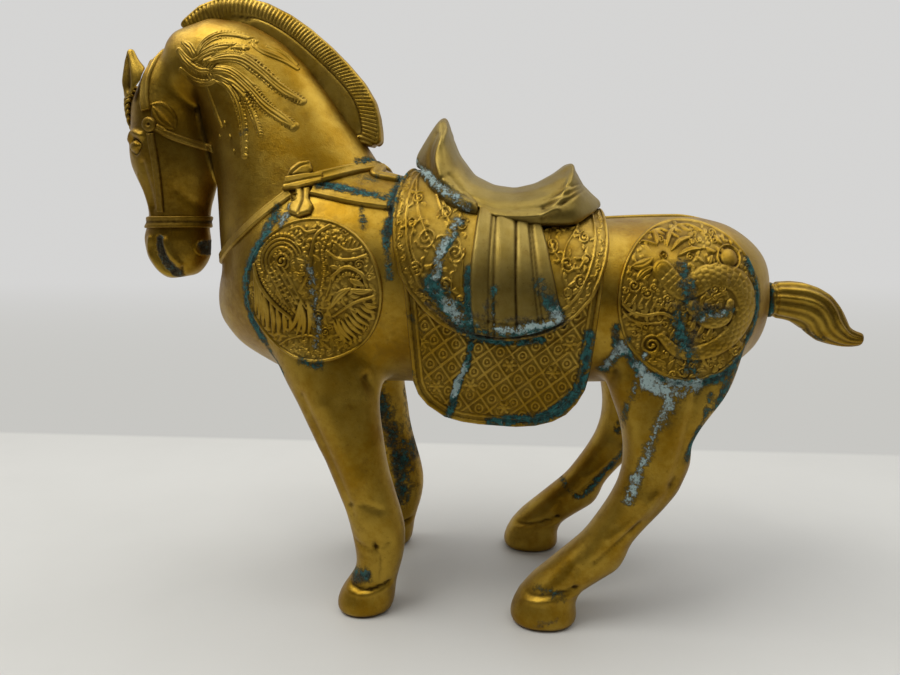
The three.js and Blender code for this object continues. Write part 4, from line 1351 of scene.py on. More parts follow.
def chest_pattern():
    """Two crested birds among clouds, left and right of a beaded stem."""
    sheet = Sheet([-104, 108], [-41, 172], 0.16)
    eye = [-84.6, 152.3]
    sheet.curl(eye, 3.4, 1.7, 300, 1.1, 1.1, hand=1)
    for radius in (5.4, 7.2, 8.8):
        sheet.ridge(arc(eye, radius, 205, 20), 0.9, 0.85, smooth=False)
    beads(sheet, arc(eye, 10.4, 215, 10), 1.75, 0.95, 0.75)
    for shift in (0, 2.5, 5.0, 7.4):
        sheet.ridge([[-91.5 + shift, 149.5], [-86.4 + shift, 141], [-82.3 + shift, 133.5]], 0.9, 0.8)
    for share in np.linspace(0.08, 0.92, 8):
        x = -90.3 + share * 8.6
        sheet.ridge([[x, 148.5 - share * 14], [x + 2.2, 149.3 - share * 14]], 0.6, 0.6, smooth=False)
    wing = [[-97.3, 150.6], [-94.4, 142], [-89.0, 135.0], [-82.5, 129.6]]
    sheet.ridge(wing, 1.4, 1.15)
    beads(sheet, [[-96.2, 152.4], [-92.8, 143.4], [-87.6, 136.6], [-81.4, 131.2]], 1.5, 0.75, 0.8)
    feathers(sheet, wing, [[-98.2, 130.4], [-95, 124], [-90, 121.5], [-83.0, 123.6]], 8, 2.5, 0.95)
    sheet.ridge([[-64.7, 166.3], [-70.1, 162.6], [-71.8, 155.6], [-73.0, 148.5], [-75.1, 143.8]], 1.5, 1.0)
    beads(sheet, [[-65.8, 161.5], [-67.4, 155.6], [-66.4, 148.5], [-68.4, 139.1]], 1.6, 0.75, 0.95)
    sheet.ridge([[-63.4, 160], [-64.8, 153], [-63.9, 146], [-66, 139]], 0.7, 0.6)
    sheet.ridge([[-81.2, 164.5], [-77.5, 165.6], [-74.4, 163.6], [-70.6, 164.2]], 1.2, 0.9)
    sheet.curl([-76.6, 160.2], 2.5, 1.4, 90, 0.9, 0.9)
    sheet.curl([-58.4, 163.6], 2.4, 1.5, 200, 0.8, 0.8, hand=-1)
    sheet.ridge([[-65.5, 156.1], [-60.7, 153.2], [-54, 153.2], [-47.3, 155.4]], 1.2, 1.0)
    sheet.ridge([[-62.9, 159.8], [-57, 156.4], [-51.0, 157.4]], 0.9, 0.8)
    for n in range(8):
        x = -61.8 + 1.7 * n
        sheet.ridge([[x, 158.8 - 0.25 * n], [x + 0.8, 160.6 - 0.25 * n]], 0.6, 0.6, smooth=False)
    sheet.curl([-52.2, 150.8], 2.0, 1.4, 20, 0.8, 0.85)
    sheet.ridge([[-63.3, 146.2], [-57.6, 150.0], [-51.2, 147.4], [-49.6, 143.6]], 1.5, 1.1)
    beads(sheet, [[-61.8, 144.4], [-57.2, 147.4], [-52.8, 145.6]], 1.5, 0.75, 0.75)
    sheet.leaf([-56.6, 145.2], [-50.2, 142.8], 2.6, 1.1)
    sheet.dome([-55.4, 145.0], 0.8, 1.5)
    sheet.leaf([-64.6, 133.6], [-55.8, 142.0], 3.2, 1.1, bend=0.1)
    sheet.leaf([-57, 141.4], [-47.0, 141.0], 2.6, 1.0, bend=-0.08)
    sheet.ridge([[-63.8, 130.5], [-54.9, 135.8], [-46.4, 138.6]], 1.4, 1.1)
    feathers(sheet, [[-64.2, 129.6], [-60, 130], [-55.5, 133.4], [-50.8, 135.8]],
             [[-58.5, 118.2], [-53, 121.6], [-48.2, 127.6], [-45.2, 134.4]], 9, 2.4, 0.95, bend=-0.08)
    feathers(sheet, [[-77.0, 137.2], [-74.2, 137.6]],
             [[-83.6, 122.8], [-78, 119.8], [-72.8, 123.6]], 5, 2.2, 1.0)
    sheet.ridge([[-88.4, 117.4], [-82.8, 120.6], [-73.8, 121.6], [-66.4, 116.0]], 1.0, 0.8)
    chance = np.random.default_rng(5)
    for _ in range(46):
        sheet.dome([chance.uniform(-84, -68), chance.uniform(112.6, 119.4)], 0.55, 0.6)
    sheet.curl([-69.8, 130.2], 2.6, 1.6, 120, 0.9, 0.9, hand=-1)
    sheet.curl([-68.0, 123.6], 2.1, 1.5, 10, 0.8, 0.8)
    fill_with_curls(sheet, CHEST_MEDALLION, 3.6, 1.6, 0.5, seed=3)
    fill_with_curls(sheet, CHEST_MEDALLION, 2.3, 0.9, 0.45, seed=4)
    sheet.bounded(CHEST_MEDALLION[:2], (28.0, 28.0))
    return sheet


def rump_pattern():
    """A scaled dragon coiling after a pearl."""
    sheet = Sheet([47, 103], [107, 171], 0.16)
    sheet.scaled_body([[66, 148], [74, 141], [84, 146], [95, 144], [99.5, 134], [94, 124], [84, 118],
                       [73, 117], [66, 123]], [7.5, 8.5, 9, 9, 8.5, 8, 6.5, 5, 3], 1.0, 2.2)
    sheet.scaled_body([[77, 135], [83, 129], [90, 130], [92, 136]], [5, 5.5, 5, 3], 1.1, 2.0)
    sheet.blob([67.5, 151.5], [5.4, 3.6], 1.3, turn=-18)                     # dragon's head
    sheet.leaf([63, 152.6], [54.4, 149.4], 4.2, 1.2, bend=0.1)
    sheet.leaf([63, 149.4], [56.2, 144.4], 3.0, 1.0, bend=-0.1)
    sheet.ring([66.8, 153.2], 1.3, 0.8, 1.9)
    sheet.dome([66.8, 153.2], 0.8, 2.2)
    for root, tip, bend in (((70, 155), (79.5, 160.6), 0.12), ((72, 153), (82.5, 156), 0.1),
                            ((69, 157), (73.6, 164.4), 0.12), ((65, 157), (64.2, 164.2), -0.1)):
        sheet.leaf(root, tip, 2.3, 1.1, bend)
    sheet.ridge([[52.8, 155.5], [59, 158.8], [65, 157.6]], 1.2, 1.0, ends=(0.5, 0.8))
    sheet.ridge([[63.3, 162.3], [68, 163.6], [74.0, 160.5]], 1.0, 0.9)
    sheet.ridge([[75.1, 165.3], [79.6, 165.2], [84, 162.6]], 1.0, 0.9)
    pearl = np.array([92.4, 152.6])
    sheet.dome(pearl, 3.4, 1.5)
    sheet.ring(pearl, 4.6, 0.8, 0.9)
    for angle in (20, 65, 110, 155, 200):
        sheet.leaf(pearl + 5.2 * toward(angle), pearl + 9.4 * toward(angle), 1.9, 1.0, 0.15)
    sheet.ridge([[50.2, 137.0], [54, 133.2], [59.6, 131.4], [66, 132.2], [71, 130.0]], 1.4, 1.1)
    sheet.ridge([[50.6, 133.6], [55, 129.6], [60.5, 128.2], [67, 128.6]], 1.0, 0.9)
    for n in range(7):
        x = 52 + 2.6 * n
        sheet.ridge([[x, 136.4 - 0.5 * n], [x + 1.6, 139.2 - 0.5 * n]], 0.8, 0.8, smooth=False)
    sheet.curl([62.6, 119.6], 4.0, 1.8, 60, 1.2, 1.1)
    sheet.curl([55.4, 142.4], 2.4, 1.5, 0, 0.9, 0.9, hand=-1)
    sheet.curl([60.4, 139.8], 2.2, 1.4, 180, 0.9, 0.9)
    for n in range(5):
        sheet.leaf([72 + 3.2 * n, 133 - 1.4 * n], [69.5 + 3.2 * n, 127.4 - 1.4 * n], 1.9, 0.9, 0.1)
    for x, z, angle in ((83, 146, 70), (88, 142, 50), (98, 138, 10), (99, 130, -20), (95, 122.5, -60),
                        (87, 116.5, -95), (77, 115, -110)):
        at = np.array([x, z])
        sheet.leaf(at + 4.2 * toward(angle), at + 8.0 * toward(angle), 2.2, 1.0, 0.12)
    fill_with_curls(sheet, RUMP_MEDALLION, 3.6, 1.7, 0.7, seed=8)
    fill_with_curls(sheet, RUMP_MEDALLION, 2.3, 0.9, 0.45, seed=9)
    sheet.bounded(RUMP_MEDALLION[:2], (26.6, 30.2))
    return sheet


def medallion(skin, shape, pattern):
    reach = np.array(shape[2:]) + 0.8
    middle = np.array(shape[:2])

    def top(x, z, inside):
        ground = MEDALLION_GROUND + 0.8 * pattern.sample(x, z)
        rim = MEDALLION_RIM - 0.5 * ramp(inside, 0.9, 1.5)
        return np.where(inside < 1.5, np.maximum(rim, ground), ground)

    return side_plate(skin, middle - reach, middle + reach, lambda x, z: ellipse_edge(x, z, shape), top)


# ---------------------------------------------------------------- layers over the back

CURTAIN_AXIS = 140.0                  # height of the line the layers hang round
CURTAIN_RADIUS = 46.0                 # a lattice millimetre is this part of a radian over the back
CURTAIN_CURVE = 0.0019                # below the axis the layers hang down, and curve in a little
OVER_THE_BACK = math.pi * CURTAIN_RADIUS

MUDGUARD_EDGE = [[-35, 150], [-33.8, 136], [-32.5, 118], [-31.5, 104], [-29.6, 98.6], [-26, 94], [-19, 89],
                 [-12, 87], [-5, 86], [10, 85], [18, 85.6], [25, 87.5], [30.4, 90.6], [34.6, 95.4],
                 [37.6, 101], [39.3, 108], [41, 122], [44, 148]]
BLANKET_EDGE = [[-34, 235], [-35, 196], [-37.6, 189], [-39.5, 182], [-40.3, 174], [-40, 167], [-38.6, 156],
                [-36, 147], [-31.8, 139.6], [-26, 132.5], [-20, 127.6], [-13, 124], [-6.6, 122.2],
                [0, 121.4], [7, 121.2], [14, 122], [20.8, 123.4], [27, 126.2], [33.6, 131], [39, 137],
                [42.6, 143.4], [45, 150], [46.3, 156.4], [46.6, 163], [46.2, 175], [45.5, 235]]
MUDGUARD_TOP, BLANKET_TOP, COVER_TOP = 2.45, 4.3, 7.2


def curtain(skin, x, v):
    """The smooth layer that hangs over the back: v runs from the left, over the back, to the right."""
    angle = np.clip(v / CURTAIN_RADIUS, 0, math.pi)
    ways = np.stack([0 * x, -np.cos(angle), np.sin(angle)], axis=-1)
    centres = np.stack([x, 0 * x, 0 * x + CURTAIN_AXIS], axis=-1)
    places = skin.around(centres.reshape(-1, 3), ways.reshape(-1, 3)).reshape(x.shape + (3,))
    drop = np.where(v < 0, -v, np.clip(v - OVER_THE_BACK, 0, None))
    places[..., 2] -= drop
    places[..., 1] -= np.sign(places[..., 1]) * CURTAIN_CURVE * drop ** 2
    return places


def curtain_lattice(skin, x_low, x_high, v, step, even):
    x, v = np.meshgrid(np.arange(x_low, x_high + step, step), v, indexing="ij")
    return blur_lattice(curtain(skin, x, v), even), x


def inset(corners, depth):
    """A closed outline's corners, moved in by a distance."""
    corners = np.array(corners, float)
    along = np.roll(corners, -1, axis=0) - np.roll(corners, 1, axis=0)
    inward = unit(np.stack([along[:, 1], -along[:, 0]], axis=1))
    middle = corners.mean(0)
    inward *= np.sign(((middle - corners) * inward).sum(1, keepdims=True))
    return corners + inward * depth


def blanket_pattern():
    """Scrolling vines in front of and behind the drape, and small scrolls in the border."""
    sheet = Sheet([-43, 118], [49, 200], 0.16)
    border = inset(BLANKET_EDGE[1:-1], 3.3)
    run = spline(border, 8)
    hand = 1
    for at in np.arange(2.0, lengths_along(run)[-1] - 2, 4.3):
        here, ahead = point_at(run, at), point_at(run, at + 2.1)
        way = math.degrees(math.atan2(*(ahead - here)[::-1]))
        sheet.curl(here, 1.25, 1.2, way + 180, 0.55, 0.42, hand=hand)
        sheet.leaf(here + 0.35 * (ahead - here), ahead + 0.3 * (ahead - here), 1.0, 0.4, bend=0.3 * hand)
        hand = -hand
    for stem in (
        [[-33, 182], [-30.5, 172], [-27, 163], [-21.5, 154], [-19, 146], [-13, 136]],
        [[-24, 176], [-21, 170], [-14.5, 161], [-11.5, 152], [-11, 142]],
        [[-30.5, 166], [-31.6, 157], [-28, 149], [-22.5, 141.5], [-15, 133.5]],
        [[36, 171], [33.6, 162], [29, 155], [27.5, 146], [30.5, 139]],
        [[24, 165], [22.8, 158], [26, 151], [33.5, 147.5], [36.8, 153]],
    ):
        sheet.ridge(stem, 0.85, 0.6)
    for x, z, radius, start, hand in (
        (-25.9, 159.8, 4.1, 200, 1), (-14.2, 154.0, 3.7, 20, -1), (-30.6, 174.6, 2.4, 60, 1),
        (-19.4, 168.4, 2.9, 210, -1), (-12.2, 163.8, 2.5, 30, 1), (-29.0, 148.6, 2.9, 160, -1),
        (-17.6, 143.2, 3.0, 250, 1), (-11.6, 137.8, 2.2, 40, -1), (-21.4, 149.0, 2.2, 90, 1),
        (-24.2, 139.4, 2.0, 10, 1), (-31.8, 165.0, 1.9, 120, -1),
        (23.4, 155.6, 3.3, 160, 1), (29.4, 149.2, 2.9, 0, -1), (31.8, 164.4, 3.0, 220, 1),
        (24.8, 163.4, 2.1, 40, -1), (36.4, 158.2, 2.3, 90, 1), (34.4, 143.6, 2.5, 300, -1),
        (29.4, 139.8, 2.0, 200, 1), (36.6, 150.6, 1.8, 0, 1),
    ):
        sheet.curl([x, z], radius, 1.6, start, 0.9, 0.7, hand=hand)
        for turn in (start + 60, start + 150, start + 240):
            way = toward(turn)
            root = np.array([x, z]) + way * radius
            slanting = np.array([way[0] - 0.6 * way[1], way[1] + 0.6 * way[0]])
            sheet.leaf(root, root + 2.4 * slanting, 1.3, 0.6, 0.2)
    fronds = [[28.5, 160.6], [24, 164.8], [26.4, 166], [29.6, 166.2], [33.6, 168.4]]
    for tip in fronds[1:]:
        sheet.leaf(fronds[0], tip, 1.4, 0.6)
    return sheet


def mudguard_pattern():
    """A diaper of slanting lines with a ringed boss in each cell, and a few flowers."""
    sheet = Sheet([-37, 83], [46, 152], 0.16)
    u = sheet.low[0] + sheet.step * np.arange(sheet.height.shape[0])[:, None]
    v = sheet.low[1] + sheet.step * np.arange(sheet.height.shape[1])[None, :]
    spacing = 6.6
    families = []
    for angle in (38, -58):
        cosine, sine = toward(angle)
        families.append(((v - 112) * cosine - (u - 3) * sine) / spacing)
    cell = [np.abs(family - np.floor(family) - 0.5) * spacing for family in families]
    away = np.sqrt(cell[0] ** 2 + cell[1] ** 2)
    lines = [bead_line((family - np.round(family)) * spacing, 0.55, 0.6) for family in families]
    for raised in (*lines, bead_line(away - 1.6, 0.45, 0.5), bead_line(away, 0.6, 0.6)):
        sheet.height = np.maximum(sheet.height, raised)
    for x, z in ((-27.2, 120.6), (-21.8, 102.4), (7.5, 111.4), (24.7, 108.4),
                 (5.4, 93.6), (-8, 103), (31, 120)):
        window, uu, vv = sheet._window(np.array([x, z]) - 3.4, np.array([x, z]) + 3.4)
        away = np.hypot(uu - x, vv - z)
        bearing = np.arctan2(vv - z, uu - x)
        petals = 0.75 * np.sqrt(np.clip(1 - (away / (2.3 + 0.8 * np.cos(6 * bearing))) ** 2, 0, 1))
        petals -= 0.35 * np.exp(-((away - 1.1) / 0.3) ** 2)
        sheet.height[window] = np.where(away < 3.2, np.maximum(petals, 0), sheet.height[window])
    return sheet


def add_mudguards(skin):
    pattern = mudguard_pattern()
    v = np.arange(-56.5, 12, PLATE_STEP)
    places, x = curtain_lattice(skin, -37, 46, v, PLATE_STEP, 2.0)
    z = places[..., 2]
    inside = inside_polygon(x, z, MUDGUARD_EDGE)
    drawn = pattern.sample(x, z) * ramp(inside, 4.6, 5.2)
    frame_lines = np.maximum(bead_line(inside - 0.95, 0.95, 0.75), bead_line(inside - 3.9, 0.6, 0.5))
    height = MUDGUARD_TOP - 0.55 + np.maximum(drawn, frame_lines)
    piece = plate(places, inside, height, 0.15, hollows_of(height, PLATE_STEP))
    finished_pair("mudguard", piece, RELIEF, crease=50)


def add_blanket(skin):
    pattern = blanket_pattern()
    side = np.arange(-20.5, 50, 0.36)
    v = np.concatenate([side, np.linspace(50, OVER_THE_BACK - 50, 36)[1:-1], OVER_THE_BACK - side[::-1]])
    places, x = curtain_lattice(skin, -42, 48.5, v, 0.36, 1.6)
    z = places[..., 2]
    inside = inside_polygon(x, z, BLANKET_EDGE)
    drawn = pattern.sample(x, np.minimum(z, 198)) * ramp(inside, 1.6, 2.0) * ramp(z, 196, 190)
    drawn *= np.where((inside > 5.0) & (inside < 6.2), 0, 1)
    lines = np.maximum(bead_line(inside - 0.8, 0.8, 0.6), bead_line(inside - 5.6, 0.55, 0.55))
    height = BLANKET_TOP - 0.35 + np.maximum(drawn, lines)
    back = 0.05 + 2.6 * ramp(inside_polygon(x, z, MUDGUARD_EDGE), -1.5, 0)
    piece = plate(places, inside, height, back, hollows_of(height, 0.36), corner=1.3)
    finished("saddle_blanket", piece, RELIEF, crease=50)


DRAPE_EDGE = [[-6.6, 172], [15.6, 170], [18.6, 163], [21.6, 155], [25, 142], [28.4, 129.4],
              [20, 125.8], [11, 123.6], [2, 123.0], [-6, 124.6], [-7.6, 135], [-8.2, 150]]
PLEATS = [                            # the edges at the top and at the foot, and how far it stands out
    (-7.8, -1.0, -9.0, -0.9, 1.2), (-1.0, 0.2, -0.9, 1.5, 0.6), (0.2, 8.2, 1.5, 10.2, 1.45),
    (8.2, 12.5, 10.2, 19.2, 1.3), (12.5, 13.4, 19.2, 21.0, 0.5), (13.4, 18.0, 21.0, 28.8, 1.25),
]


def add_drapes(skin):
    v = np.arange(-19, 42, PLATE_STEP)
    places, x = curtain_lattice(skin, -10, 31, v, PLATE_STEP, 2.5)
    z = places[..., 2]
    inside = inside_polygon(x, z, DRAPE_EDGE)
    down = np.clip((170 - z) / 46, 0, 1)
    height = np.zeros(x.shape)
    for left_top, right_top, left_foot, right_foot, stands in PLEATS:
        left, right = left_top + (left_foot - left_top) * down, right_top + (right_foot - right_top) * down
        share = np.abs(2 * (x - left) / (right - left) - 1)
        raised = stands * (1 - np.clip(share, 0, 1) ** 3.2) ** 0.6
        height = np.where(share < 1, raised, height)
    height = blur_lattice(height, 0.8) + COVER_TOP - 1.7
    height -= 0.5 * ramp(z, 160, 172)
    foot = z - (123.4 + 0.012 * (x - 8) ** 2)
    height += 0.5 * np.exp(-((foot - 2.4) / 1.3) ** 2) - 0.35 * np.exp(-((foot - 5.2) / 1.0) ** 2)
    hollow = hollows_of(height, PLATE_STEP, 1.0)
    piece = plate(places, inside, height, BLANKET_TOP - 0.1, hollow, corner=1.2)
    finished_pair("pleated_drape", piece, SADDLE, crease=60)


# ---------------------------------------------------------------- the saddle

FRONT_ROLL = [[-6.6, 170.6], [-7.2, 167.6], [-13.4, 168.8], [-20.4, 172.6], [-26.6, 177.8], [-31.6, 183.2],
              [-35.8, 189.6], [-38.6, 197], [-38.4, 205], [-27.4, 205], [-26.0, 192.6], [-20.1, 184.1],
              [-12.7, 175.9]]
REAR_ROLL = [[16.6, 171.4], [16.9, 165.6], [22.6, 166.6], [28.4, 168.6], [34.4, 171.4], [38.8, 174.4],
             [42.4, 178], [47.4, 184], [47.4, 200], [34, 200], [32.6, 186], [30, 178.6], [24.7, 173.6]]
FRONT_FOLDS = [[[-35.4, 197], [-30.4, 187.6], [-22.4, 179.0], [-8, 169.6]]]
REAR_FOLDS = [[[43, 184], [39.6, 178.4], [33.2, 173.4], [23.7, 169.6], [17.4, 167.8]],
              [[40, 186], [35.5, 178.6], [28.5, 173.2], [20.6, 170.2]],
              [[36.6, 187], [33.2, 180.4], [28.6, 176.0]]]


def add_roll(skin, name, outline, folds):
    """A roll of the saddle's cover, over the back from side to side."""
    corners = np.array(outline)
    v = np.arange(14, OVER_THE_BACK - 14, 0.34)
    low, high = corners[:, 0].min() - 1, corners[:, 0].max() + 1
    places, x = curtain_lattice(skin, low, high, v, 0.3, 2.0)
    z = places[..., 2]
    inside = inside_polygon(x, z, outline)
    sheet = Sheet([low, 150], [high, 210], 0.2)
    for fold in folds:
        sheet.groove(fold, 1.5, 0.95, ends=(1, 0.5))
    height = COVER_TOP + 0.5 + sheet.sample(x, z) - 1.5 * ramp(inside, 2.4, 0)
    piece = plate(places, inside, height, BLANKET_TOP - 0.15, hollows_of(height, 0.3, 1.0), corner=1.6)
    finished(name, piece, SADDLE, crease=60)


def carved_node(name, voxel, blur, sheet):
    """A softened CAD node, with relief drawn in the side view and mirrored to the right."""
    points, quads = soft_node(name, voxel, blur)
    normals = vertex_normals(points, quads)
    facing = ramp(np.abs(normals[:, 1]) + 0.6 * np.clip(normals[:, 2], 0, 1), 0.1, 0.6)
    return points + normals * (sheet.sample(points[:, 0], points[:, 2]) * facing)[:, None], quads


def saddle_sheet():
    sheet = Sheet([-50, 150], [60, 225], 0.2)
    sheet.swell([[-19.6, 212], [-21.8, 202.5], [-23.8, 194.4], [-21.6, 186.5]], 2.2, 0.9)
    sheet.groove([[-25, 205], [-27.6, 198], [-27, 190]], 2.4, 0.5)
    sheet.swell([[33.0, 192.6], [31.4, 184.8], [26.4, 175.0], [20, 169.6]], 2.2, 1.0)
    sheet.groove([[29.4, 189], [27.4, 181], [21, 173.4]], 3.0, 0.5)
    sheet.swell([[-20, 184.5], [-12, 175.6], [-2, 170.9], [8, 169.5], [18, 169.8], [26, 172.4]], 1.8, 0.8)
    for shift in (0, 2.6, 5.2):
        seat_fold = [[38.6, 181.6 + 0.5 * shift], [30, 176.0 + shift], [18, 169.6 + shift]]
        sheet.groove(seat_fold, 1.3, 0.55, ends=(0.3, 0.2))
    sheet.groove([[-18, 187], [-10, 178.4], [0, 173.6], [10, 172.6], [20, 173.4]], 1.8, 0.4)
    return sheet


def add_saddle(skin):
    points, quads = carved_node("saddle_seat", 0.6, 1.3, saddle_sheet())
    hollow = surface_hollows(points, quads, 10, 0.3)
    finished("saddle_seat", (points, quads, hollow), SADDLE, crease=70)
    add_roll(skin, "saddle_front_roll", FRONT_ROLL, FRONT_FOLDS)
    add_roll(skin, "saddle_rear_roll", REAR_ROLL, REAR_FOLDS)


# ---------------------------------------------------------------- mane, ears, forelock and tail

MANE_CENTRE = np.array([-105.0, 210.0])
SUNK = 0.8                            # the mane's foot goes this far into the neck


def close_on(skin, points, ways, share, reach):
    """Moves points along their ways until they are sunk in a skin that is near."""
    for n in np.flatnonzero(share > 0.02).tolist():
        place, _, _, distance = skin.tree.ray_cast(points[n].tolist(), ways[n].tolist(), reach)
        if place is not None:
            points[n] += ways[n] * (distance + SUNK) * share[n]


def add_mane(skin):
    points, quads = soft_node("mane_crest", 0.42, 0.8)
    normals = vertex_normals(points, quads)
    away = points[:, [0, 2]] - MANE_CENTRE
    radius = np.hypot(away[:, 0], away[:, 1])
    bearing = np.arctan2(away[:, 1], away[:, 0])
    bins = np.linspace(bearing.min(), bearing.max(), 90)
    which = np.clip(np.digitize(bearing, bins) - 1, 0, 88)
    rim = np.zeros(89)
    np.maximum.at(rim, which, radius)
    middle = 0.5 * (bins[1:] + bins[:-1])
    known = rim > 0
    even_rim = np.convolve(np.pad(rim[known], 3, mode="edge"), np.ones(7) / 7, "valid")
    outer = np.interp(bearing, middle[known], even_rim)
    inward = outer - radius
    pitch = 1.75 / 50
    strand = np.cos(2 * math.pi * (bearing - 0.006 * np.clip(inward, 0, 8)) / pitch)
    on_side_of = ramp(np.abs(points[:, 1]), 1.6, 2.8)
    hatch = ramp(inward, 1.0, 1.8) * ramp(inward, 8.4, 7.2)
    depth = 0.20 * strand * hatch * on_side_of - 0.45 * np.exp(-((inward - 8.3) / 0.5) ** 2) * on_side_of
    points = points + normals * (depth + 0.5 * ramp(inward, 1.6, 0.8) * on_side_of)[:, None]
    hollow = np.clip(surface_hollows(points, quads, 4, 0.14), 0, 1)
    inner = np.stack([-away[:, 0], 0 * radius, -away[:, 1]], axis=1) / radius[:, None]
    close_on(skin, points, inner, ramp((normals * inner).sum(1), 0.0, 0.35), 9.0)
    finished("mane_crest", (points, quads, hollow), RELIEF, crease=80)


def add_ears():
    points, quads = soft_node("ear_left", 0.35, 0.55)
    middle = points.mean(0)
    low, high = points[:, 2].min(), points[:, 2].max()
    share = (points[:, 2] - low) / (high - low)
    normals = vertex_normals(points, quads)
    facing = ramp(-0.8 * normals[:, 1] - 0.5 * normals[:, 0], 0.25, 0.8)
    centre = np.interp(points[:, 2], [low, high], [middle[0] - 0.3, middle[0] - 1.2])
    half = np.interp(share, [0, 0.3, 0.7, 1], [3.0, 3.2, 2.0, 0.4])
    bowl = np.exp(-((points[:, 0] - centre) / (0.55 * half)) ** 2)
    bowl = bowl * ramp(share, 0.02, 0.22) * ramp(share, 0.95, 0.75)
    points = points - normals * (1.7 * bowl * facing)[:, None]
    points[:, 0] = centre - 0.5 + (points[:, 0] - centre) * (1.0 + 0.45 * ramp(share, 0.1, 0.4))
    # painted shade inside the ear's bowl
    finished_pair("ear", (points, triangles_of(quads), 0.85 * bowl * facing), SMOOTH, crease=70)


def add_forelock():
    points, quads = soft_node("forelock", 0.35, 0.6)
    normals = vertex_normals(points, quads)
    strand = np.sin((points[:, 2] - 0.55 * np.abs(points[:, 1]) - 0.4 * points[:, 0]) * 2 * math.pi / 2.2)
    points = points + normals * (0.32 * strand * ramp(np.abs(points[:, 1]), 0.3, 1.5))[:, None]
    # painted shade in the grooves between the strands
    hollow = np.clip(0.5 - 0.8 * strand, 0, 1) * 0.8
    finished("forelock", (points, quads, hollow), RELIEF, crease=80)


TAIL_LINE = np.array([[115, 133.5], [123, 133.7], [131.5, 132.5], [139.5, 128.5], [146, 122],
                      [152.5, 117.5], [160, 116.5]])


def add_tail():
    points, quads = soft_node("tail", 0.45, 0.8)
    normals = vertex_normals(points, quads)
    line = spline(TAIL_LINE, 12)
    from_line = np.hypot(points[:, None, 0] - line[None, :, 0], points[:, None, 2] - line[None, :, 1])
    nearest = from_line.argmin(1)
    along = unit(np.gradient(line, axis=0))
    offset = points[:, [0, 2]] - line[nearest]
    up = along[nearest, 0] * offset[:, 1] - along[nearest, 1] * offset[:, 0]
    bearing = np.arctan2(up, points[:, 1])
    share = nearest / len(line)
    strand = np.cos(12 * bearing + 3.2 * np.sin(5.0 * share) + 0.8 * np.sin(17 * share))
    depth = 0.24 * strand * ramp(share, 0.08, 0.16) * ramp(share, 1.02, 0.8)
    step = -0.7 * np.exp(-((points[:, 0] - 121.4) / 0.7) ** 2)
    points = points + normals * (depth + step)[:, None]
    # painted shade in the grooves between the strands
    hollow = np.clip(0.1 - 0.45 * strand, 0, 1) * ramp(share, 0.08, 0.16)
    finished("tail", (points, quads, hollow), SMOOTH, crease=80)


# ---------------------------------------------------------------- the neck's relief


NECK_LOCKS = [                        # flow line, width, number of strands and height
    ([[-124, 236.4], [-116, 238.4], [-107.8, 237.6], [-99.7, 232.0], [-90.8, 224.4], [-82.6, 219.4]],
     6.6, 5, 1.15),
    ([[-122, 233.4], [-113, 231.6], [-104.6, 225.0], [-97.6, 217.6], [-90.6, 212.4], [-84.6, 208.2]],
     6.8, 5, 1.2),
    ([[-122.6, 231], [-114.6, 227.0], [-109.4, 219.4], [-106.6, 209.0], [-105.8, 196.4]], 5.2, 4, 1.1),
    ([[-120.4, 229.4], [-112.0, 226.4], [-105.0, 219.6], [-101.2, 211.6], [-98.6, 205.2]], 4.6, 3, 1.2),
    ([[-128.8, 239.0], [-124.6, 245.4], [-117.8, 248.4], [-109.0, 247.8], [-103.6, 245.8]], 4.6, 4, 0.9),
    ([[-130.6, 237.0], [-122.6, 241.4], [-114.6, 243.0], [-106.6, 242.4]], 4.6, 4, 0.95),
    ([[-107.0, 246.4], [-100.6, 241.4], [-91.5, 237.4], [-85.8, 234.0]], 2.6, 2, 0.8),
    ([[-98.6, 243.6], [-92.6, 241.4], [-86.4, 236.2]], 2.0, 2, 0.7),
    ([[-137.4, 242.4], [-133.4, 237.4], [-127.6, 233.6], [-121.4, 232.4]], 5.2, 4, 1.0),
    ([[-135.4, 246.0], [-131.6, 243.4], [-128.8, 238.6]], 4.0, 3, 0.9),
    ([[-137.0, 234.4], [-131.0, 229.4], [-124.4, 228.0], [-118.4, 229.6]], 3.6, 3, 0.9),
    ([[-124.6, 226.6], [-122.6, 220.4], [-120.4, 214.4], [-118.0, 209.4]], 2.0, 1, 0.8),
]


